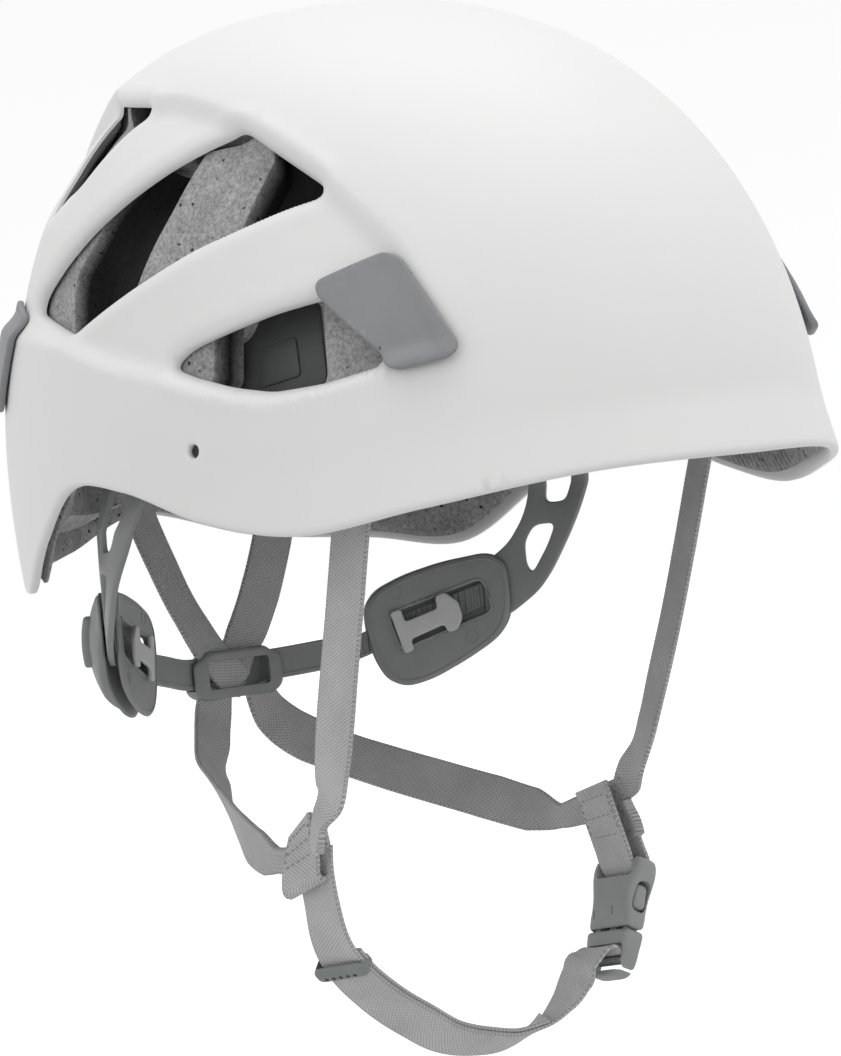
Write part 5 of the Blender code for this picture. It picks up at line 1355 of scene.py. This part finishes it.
web_loop("loop_right", "junction_loop_right", (-57.6, -8.4, -91.4), (-57.2, -6.4, -107.6), (-0.144, -0.85, 0.517), 2.6, (0.2, -0.91, 0.37), thick=1.5)

# ------------------------------------------------------------------ buckle
B_TOP = np.array((59.5, -14.0, -118.0))
B_AX = np.array((-0.42, -0.10, -0.90))
B_AX /= np.linalg.norm(B_AX)
B_W = np.array((-0.017, -0.979, 0.118))
B_W -= B_AX * B_W.dot(B_AX)
B_W /= np.linalg.norm(B_W)
B_N = np.cross(B_AX, B_W)
FEM_LEN, FEM_W, FEM_T = 22.0, 23.5, 8.6
M0 = FEM_LEN + 0.4


def buckle_frame(along, across=0.0, out=0.0):
    return frame_from(B_TOP + B_AX * along + B_W * across + B_N * out, B_W, B_AX)


web_loop("loop_left", "junction_loop_left", (57.9, -5.9, -94.9), tuple(B_TOP + B_AX * 1.7), (-0.043, -0.963, 0.268), 4.1, B_W)
bmap = plane_map(B_TOP, B_W, B_AX, B_N)


def sym(half):
    return [(a, b) for a, b in half] + [(-a, b) for a, b in half[::-1]]


FEM_HALF = [(8.2, 0.0), (9.6, 0.6), (10.6, 2.8), (10.7, 5.8), (9.9, 9.2), (8.9, 12.6), (8.7, 16.0), (9.5, 18.4), (9.6, 21.4), (9.0, 22.0)]


def fem_top(u, v):
    return FEM_T / 2 - 0.9 * smooth(14, 22, v) - 0.25 * np.clip(np.abs(u) / 11.0, 0, 1) ** 3


V, F = plate(sym(FEM_HALF), [], bmap, lambda u, v: -fem_top(u, v), fem_top, 1.9, 0.7, 2.0, 1.4)
fem = mesh_ob(V, F)
RY = Matrix.Rotation(math.pi / 2, 4, 'Y')
tools = [(block_ob((16.8, 15.0, 5.2), buckle_frame(FEM_LEN - 7.0)), 'DIFFERENCE'),
         (block_ob((40, 9.4, 5.4), buckle_frame(12.2), 2.2, 5), 'DIFFERENCE'),
         (block_ob((16.0, 6.4, 20), buckle_frame(2.9), 1.0, 3), 'DIFFERENCE'),
         (rod_ob(1.45, 17.8, buckle_frame(1.5) @ RY), 'UNION')]
# moulding slits on each face
for sg in (-1, 1):
    for a, b in ((4.6, 5.2), (1.6, 16.6), (-6.6, 17.4)):
        tools.append((block_ob((0.5, 2.6, 1.6), buckle_frame(b, a, sg * (FEM_T / 2 - 0.2)), 0.1, 1), 'DIFFERENCE'))
fem = bake("buckle_female_half", fem, tools, 0.3, 2)
dress(fem, M_BUCK, "helmet", ["buckle_female"], 48)

MALE_HALF = [(8.8, M0), (9.3, M0 + 0.6), (9.4, M0 + 4.0), (9.1, M0 + 8.0), (8.3, M0 + 11.2), (6.4, M0 + 13.6), (4.0, M0 + 14.2)]


def male_top(u, v):
    return 3.3 + 0.55 * smooth(M0 + 7, M0, v) - 0.2 * np.clip(np.abs(u) / 10.0, 0, 1) ** 3


V, F = plate(sym(MALE_HALF), [], bmap, lambda u, v: -male_top(u, v), male_top, 1.5, 0.7, 2.0, 1.4)
male = mesh_ob(V, F)
tools = [(block_ob((15.6, 8.0, 20), buckle_frame(M0 + 8.6), 1.0, 3), 'DIFFERENCE'),
         (rod_ob(1.4, 16.6, buckle_frame(M0 + 8.8) @ RY), 'UNION')]
for x in (-6.2, 6.2):
    tools.append((block_ob((2.6, 15.2, 3.8), buckle_frame(M0 - 5.4, x), 0.5, 2), 'UNION'))
    tools.append((block_ob((3.6, 7.8, 4.6), buckle_frame(M0 - 10.2, x * 1.24), 1.6, 4), 'UNION'))
tools.append((block_ob((3.0, 13.2, 3.0), buckle_frame(M0 - 4.4), 0.4, 2), 'UNION'))
male = bake("buckle_male_half", male, tools, 0.25, 2)
dress(male, M_BUCK, "male_half", ["buckle_male"], 48)

# ------------------------------------------------------------------ chin strap and its keeper
bar = B_TOP + B_AX * (M0 + 8.8)
CHIN = [(-54.0, -7.6, -97.5), (-54.3, -7.2, -106), (-53.2, -7, -115), (-49.7, -5.4, -126.3), (-43.2, -3.2, -134.8), (-30.3, -0.4, -145.6),
        (-15, 1.6, -155.4), (-4.1, 2, -161.7), (8.2, 1.4, -165.3), (18.4, -1, -166.2), (27.2, -4.4, -163.0), (33.0, -8.4, -156.8)]
W_CHIN = [(0, -0.95, 0.3), (0, -0.97, 0.2), (0, -0.98, 0.1), (0.1, -0.98, 0.1), (0.2, -0.95, 0.2), (0.2, -0.9, 0.35), (0.1, -0.85, 0.5),
          (0.0, -0.85, 0.52), (-0.1, -0.86, 0.5), (-0.15, -0.9, 0.4), (-0.15, -0.93, 0.3), (-0.1, -0.97, 0.2)]
r = 1.4 + 0.6 + WEB_THICK / 2
CHIN_END = [(36.2, -12.2, -150.0), (38.2, -14.8, -144.6), tuple(bar + B_N * 4.4 - B_AX * 2.4)]
for k in range(6):
    a = math.radians(120 + 30 * k)
    CHIN_END.append(tuple(bar + B_N * r * math.sin(a) + B_AX * r * math.cos(a)))
cpath = CHIN + CHIN_END
ww = W_CHIN + [tuple(B_W)] * len(CHIN_END)
ob, (P, W, N, Tn, q, wd) = web("strap_chin", cpath, ww, M_WEBF, None, ["chin_strap"], thick=1.15)
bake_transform(ob)
ob, _ = web("strap_chin_tail", cpath, ww, M_WEBF, None, (), thick=1.1, t0=0.205, t1=0.77, lift=-1.25, side=0.45)
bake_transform(ob)


def at_length(pts, wdt, dist):
    pts = np.array(pts, float)
    L = np.r_[0, np.cumsum(np.linalg.norm(np.diff(pts, axis=0), axis=1))]
    f = spline(L, pts, False)
    p = f(np.array([dist]))[0]
    t = f(np.array([dist + 0.5]))[0] - f(np.array([dist - 0.5]))[0]
    return p, t / np.linalg.norm(t), spline(L, np.array(wdt, float), False)(np.array([dist]))[0]


K_POS, K_T, K_W = at_length(cpath, ww, 39.5)
kf = frame_from(K_POS - K_W * 0.9, K_W - K_T * K_W.dot(K_T) - K_T * 0.10, K_T)
kx, ky, kz = (np.array(kf.col[i][:3]) for i in range(3))
kmap = plane_map(kf.translation, kx, ky, kz)
KO = [(-9.0, -1.5), (-7.6, -2.7), (7.6, -2.7), (9.0, -1.5), (9.0, 1.5), (7.6, 2.7), (-7.6, 2.7), (-9.0, 1.5)]
V, F = plate(KO, [], kmap, -3.1, 2.7, 1.2, 0.5, 2.0, 2.6)
keeper = mesh_ob(V, F)
tools = [(block_ob((16.2, 20, 3.6), kf, 0.5, 2), 'DIFFERENCE')]
for i in range(5):
    tools.append((rod_ob(0.68, 20, kf @ T(Vector((-5.6 + 2.5 * i, 1.1, 0))), 14), 'DIFFERENCE'))
keeper = bake("keeper_ring", keeper, tools, 0.18, 2)
dress(keeper, M_KEEP, "keeper", ["strap_keeper"], 48)

# ------------------------------------------------------------------ comfort pads
INNER = DEPTH0 + SIDE_LINER + 2.2


def soft_patch(name, node_name, ph0, ph1, s0, s1, depth, thick, seams):
    """Fabric pad: crowned closed form with pulled-in edges and sewn channels."""
    nu, nv = 90, 30
    u = np.linspace(0, 1, nu)
    v = np.linspace(0, 1, nv)
    U, Vv = np.meshgrid(u, v)
    e = 0.04
    fu = np.clip(np.minimum(U, 1 - U) / e, 0, 1)
    fv = np.clip(np.minimum(Vv, 1 - Vv) / (e * 3.2), 0, 1)
    puff = np.sqrt(np.clip(1 - (1 - fu) ** 2, 0, 1)) * np.sqrt(np.clip(1 - (1 - fv) ** 2, 0, 1))
    for c in seams:
        puff = puff * (1 - 0.55 * np.exp(-((U - c) / 0.012) ** 2))
    puff = puff * (0.86 + 0.14 * np.sin(np.pi * U) * np.sin(np.pi * Vv))
    pull = 0.012 * (1 - np.sin(np.pi * U))
    ph = ph0 + (ph1 - ph0) * U
    s = s0 + (s1 - s0) * (Vv * (1 - 2 * pull) + pull)
    dep = depth(s.ravel()) if callable(depth) else np.full(s.size, float(depth))
    a = dome(ph.ravel(), s.ravel(), dep, 8.0)
    b = dome(ph.ravel(), s.ravel(), dep + 0.3 + (thick - 0.3) * puff.ravel(), 8.0)
    F = []
    for j in range(nv - 1):
        for i in range(nu - 1):
            k = j * nu + i
            F.append((k, k + 1, k + nu + 1))
            F.append((k, k + nu + 1, k + nu))
    V, faces = close_shell(b, a, np.array(F))
    ob = add(name, V, faces, M_KNIT, "helmet", [node_name], 60, recalc=True)


soft_patch("brow_cushion", "brow_pad", math.radians(-42), math.radians(42), 0.030, 0.150, lambda s: 8.2 + (INNER - 8.2) * smooth(0.030, 0.062, s), 6.0,
           (0.2, 0.4, 0.6, 0.8))
soft_patch("crown_cushion", "crown_pad", math.radians(-60), math.radians(60), 0.80, 0.93, DEPTH0 + CROWN_LINER + 1.2, 6.0, (0.33, 0.67))
soft_patch("rear_cushion", "rear_pad", math.radians(160), math.radians(200), 0.16, 0.30, INNER, 6.0, (0.5,))

# ------------------------------------------------------------------ CAD nodes that stay
for n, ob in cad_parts.items():
    if not ob.hide_render:
        ob.data.materials.clear()
        ob.data.materials.append(M_PIN)

# ------------------------------------------------------------------ floor, light, camera
me = bpy.data.meshes.new("floor")
me.from_pydata([(-12, -12, 0), (12, -12, 0), (12, 12, 0), (-12, 12, 0)], [], [(0, 1, 2, 3)])
floor = bpy.data.objects.new("floor", me)
floor.location = (0, 0, -0.62)
scene.collection.objects.link(floor)
fm, nt, b = new_mat("floor_mat")
fc = coords(nt)
fn = noise(nt, 3.0, 3.0, 0.5, fc)
dt = nt.nodes.new("ShaderNodeVectorMath")
dt.operation = 'DOT_PRODUCT'
nt.links.new(fc, dt.inputs[0])
dt.inputs[1].default_value = (0.65, 0.76, 0)
# painted light: the floor is darker near the helmet and paler and glowing further back, where the glow stands in for
# light on the far floor
far_painted_light = ramp(nt, math_node(nt, 'MULTIPLY_ADD', dt.outputs["Value"], 0.25, 0.0), [(0.2, 0.0), (0.5, 1.0)]).outputs[0]
fbase = mix_rgb(nt, far_painted_light, (0.70, 0.70, 0.70), (0.94, 0.94, 0.94))
nt.links.new(mix_rgb(nt, 0.05, fbase, ramp(nt, fn.outputs[0], [(0.3, 0.9), (0.7, 1.0)]).outputs[0], 'MULTIPLY'), b.inputs["Base Color"])
b.inputs["Roughness"].default_value = 0.9
b.inputs["Emission Color"].default_value = (1, 1, 1, 1)
nt.links.new(math_node(nt, 'MULTIPLY', far_painted_light, 0.5), b.inputs["Emission Strength"])
me.materials.append(fm)

world = bpy.data.worlds.new("studio")
scene.world = world
world.use_nodes = True
wn = world.node_tree
bg = wn.nodes["Background"]
tc = wn.nodes.new("ShaderNodeTexCoord")
sp = wn.nodes.new("ShaderNodeSeparateXYZ")
wn.links.new(tc.outputs["Generated"], sp.inputs[0])
wr = wn.nodes.new("ShaderNodeValToRGB")
wr.color_ramp.elements[0].position = 0.0
wr.color_ramp.elements[0].color = (1.0, 1.0, 1.0, 1)
wr.color_ramp.elements[1].position = 1.0
wr.color_ramp.elements[1].color = (0.62, 0.62, 0.62, 1)
wn.links.new(sp.outputs[2], wr.inputs[0])
wn.links.new(wr.outputs[0], bg.inputs["Color"])
bg.inputs["Strength"].default_value = 1.0


def area_light(name, loc, target, size, power, size_y=None):
    ld = bpy.data.lights.new(name, 'AREA')
    ld.shape = 'RECTANGLE'
    ld.size = size
    ld.size_y = size_y or size
    ld.energy = power
    ob = bpy.data.objects.new(name, ld)
    ob.location = loc
    ob.rotation_mode = 'QUATERNION'
    ob.rotation_quaternion = (Vector(target) - Vector(loc)).to_track_quat('-Z', 'Y')
    scene.collection.objects.link(ob)
    return ob


area_light("top_box", (0.1, -0.1, 1.5), (0, 0, 0), 1.4, 11.0)
area_light("front_box", (0.3, -1.9, 0.9), (0, 0, 0), 0.9, 2.3)
area_light("side_box", (-1.9, -0.3, 0.5), (0, 0, 0), 1.0, 1.6)
scene.view_settings.view_transform = 'Standard'

az, el, roll = math.radians(40.581), math.radians(0.768), math.radians(-5.482)
back = Vector((-math.sin(az) * math.cos(el), -math.cos(az) * math.cos(el), math.sin(el)))
look = -back
right = look.cross(Vector((0, 0, 1))).normalized()
up = right.cross(look)
r2 = right * math.cos(roll) + up * math.sin(roll)
u2 = -right * math.sin(roll) + up * math.cos(roll)
cam = bpy.data.cameras.new("camera")
cam.sensor_fit = 'AUTO'
cam.sensor_width = 36.0
cam.lens = 4329.3 / 1056.0 * 36.0
cam.shift_x = (420.5 - 409.11) / 1056.0
cam.shift_y = -(528.0 - 487.56) / 1056.0
cam.clip_start, cam.clip_end = 0.05, 100.0
cob = bpy.data.objects.new("camera", cam)
m = Matrix.Identity(4)
for i in range(3):
    m[i][0], m[i][1], m[i][2] = r2[i], u2[i], back[i]
m.translation = back * 1.26782
cob.matrix_world = m
scene.collection.objects.link(cob)
scene.camera = cob

bpy.context.view_layer.update()
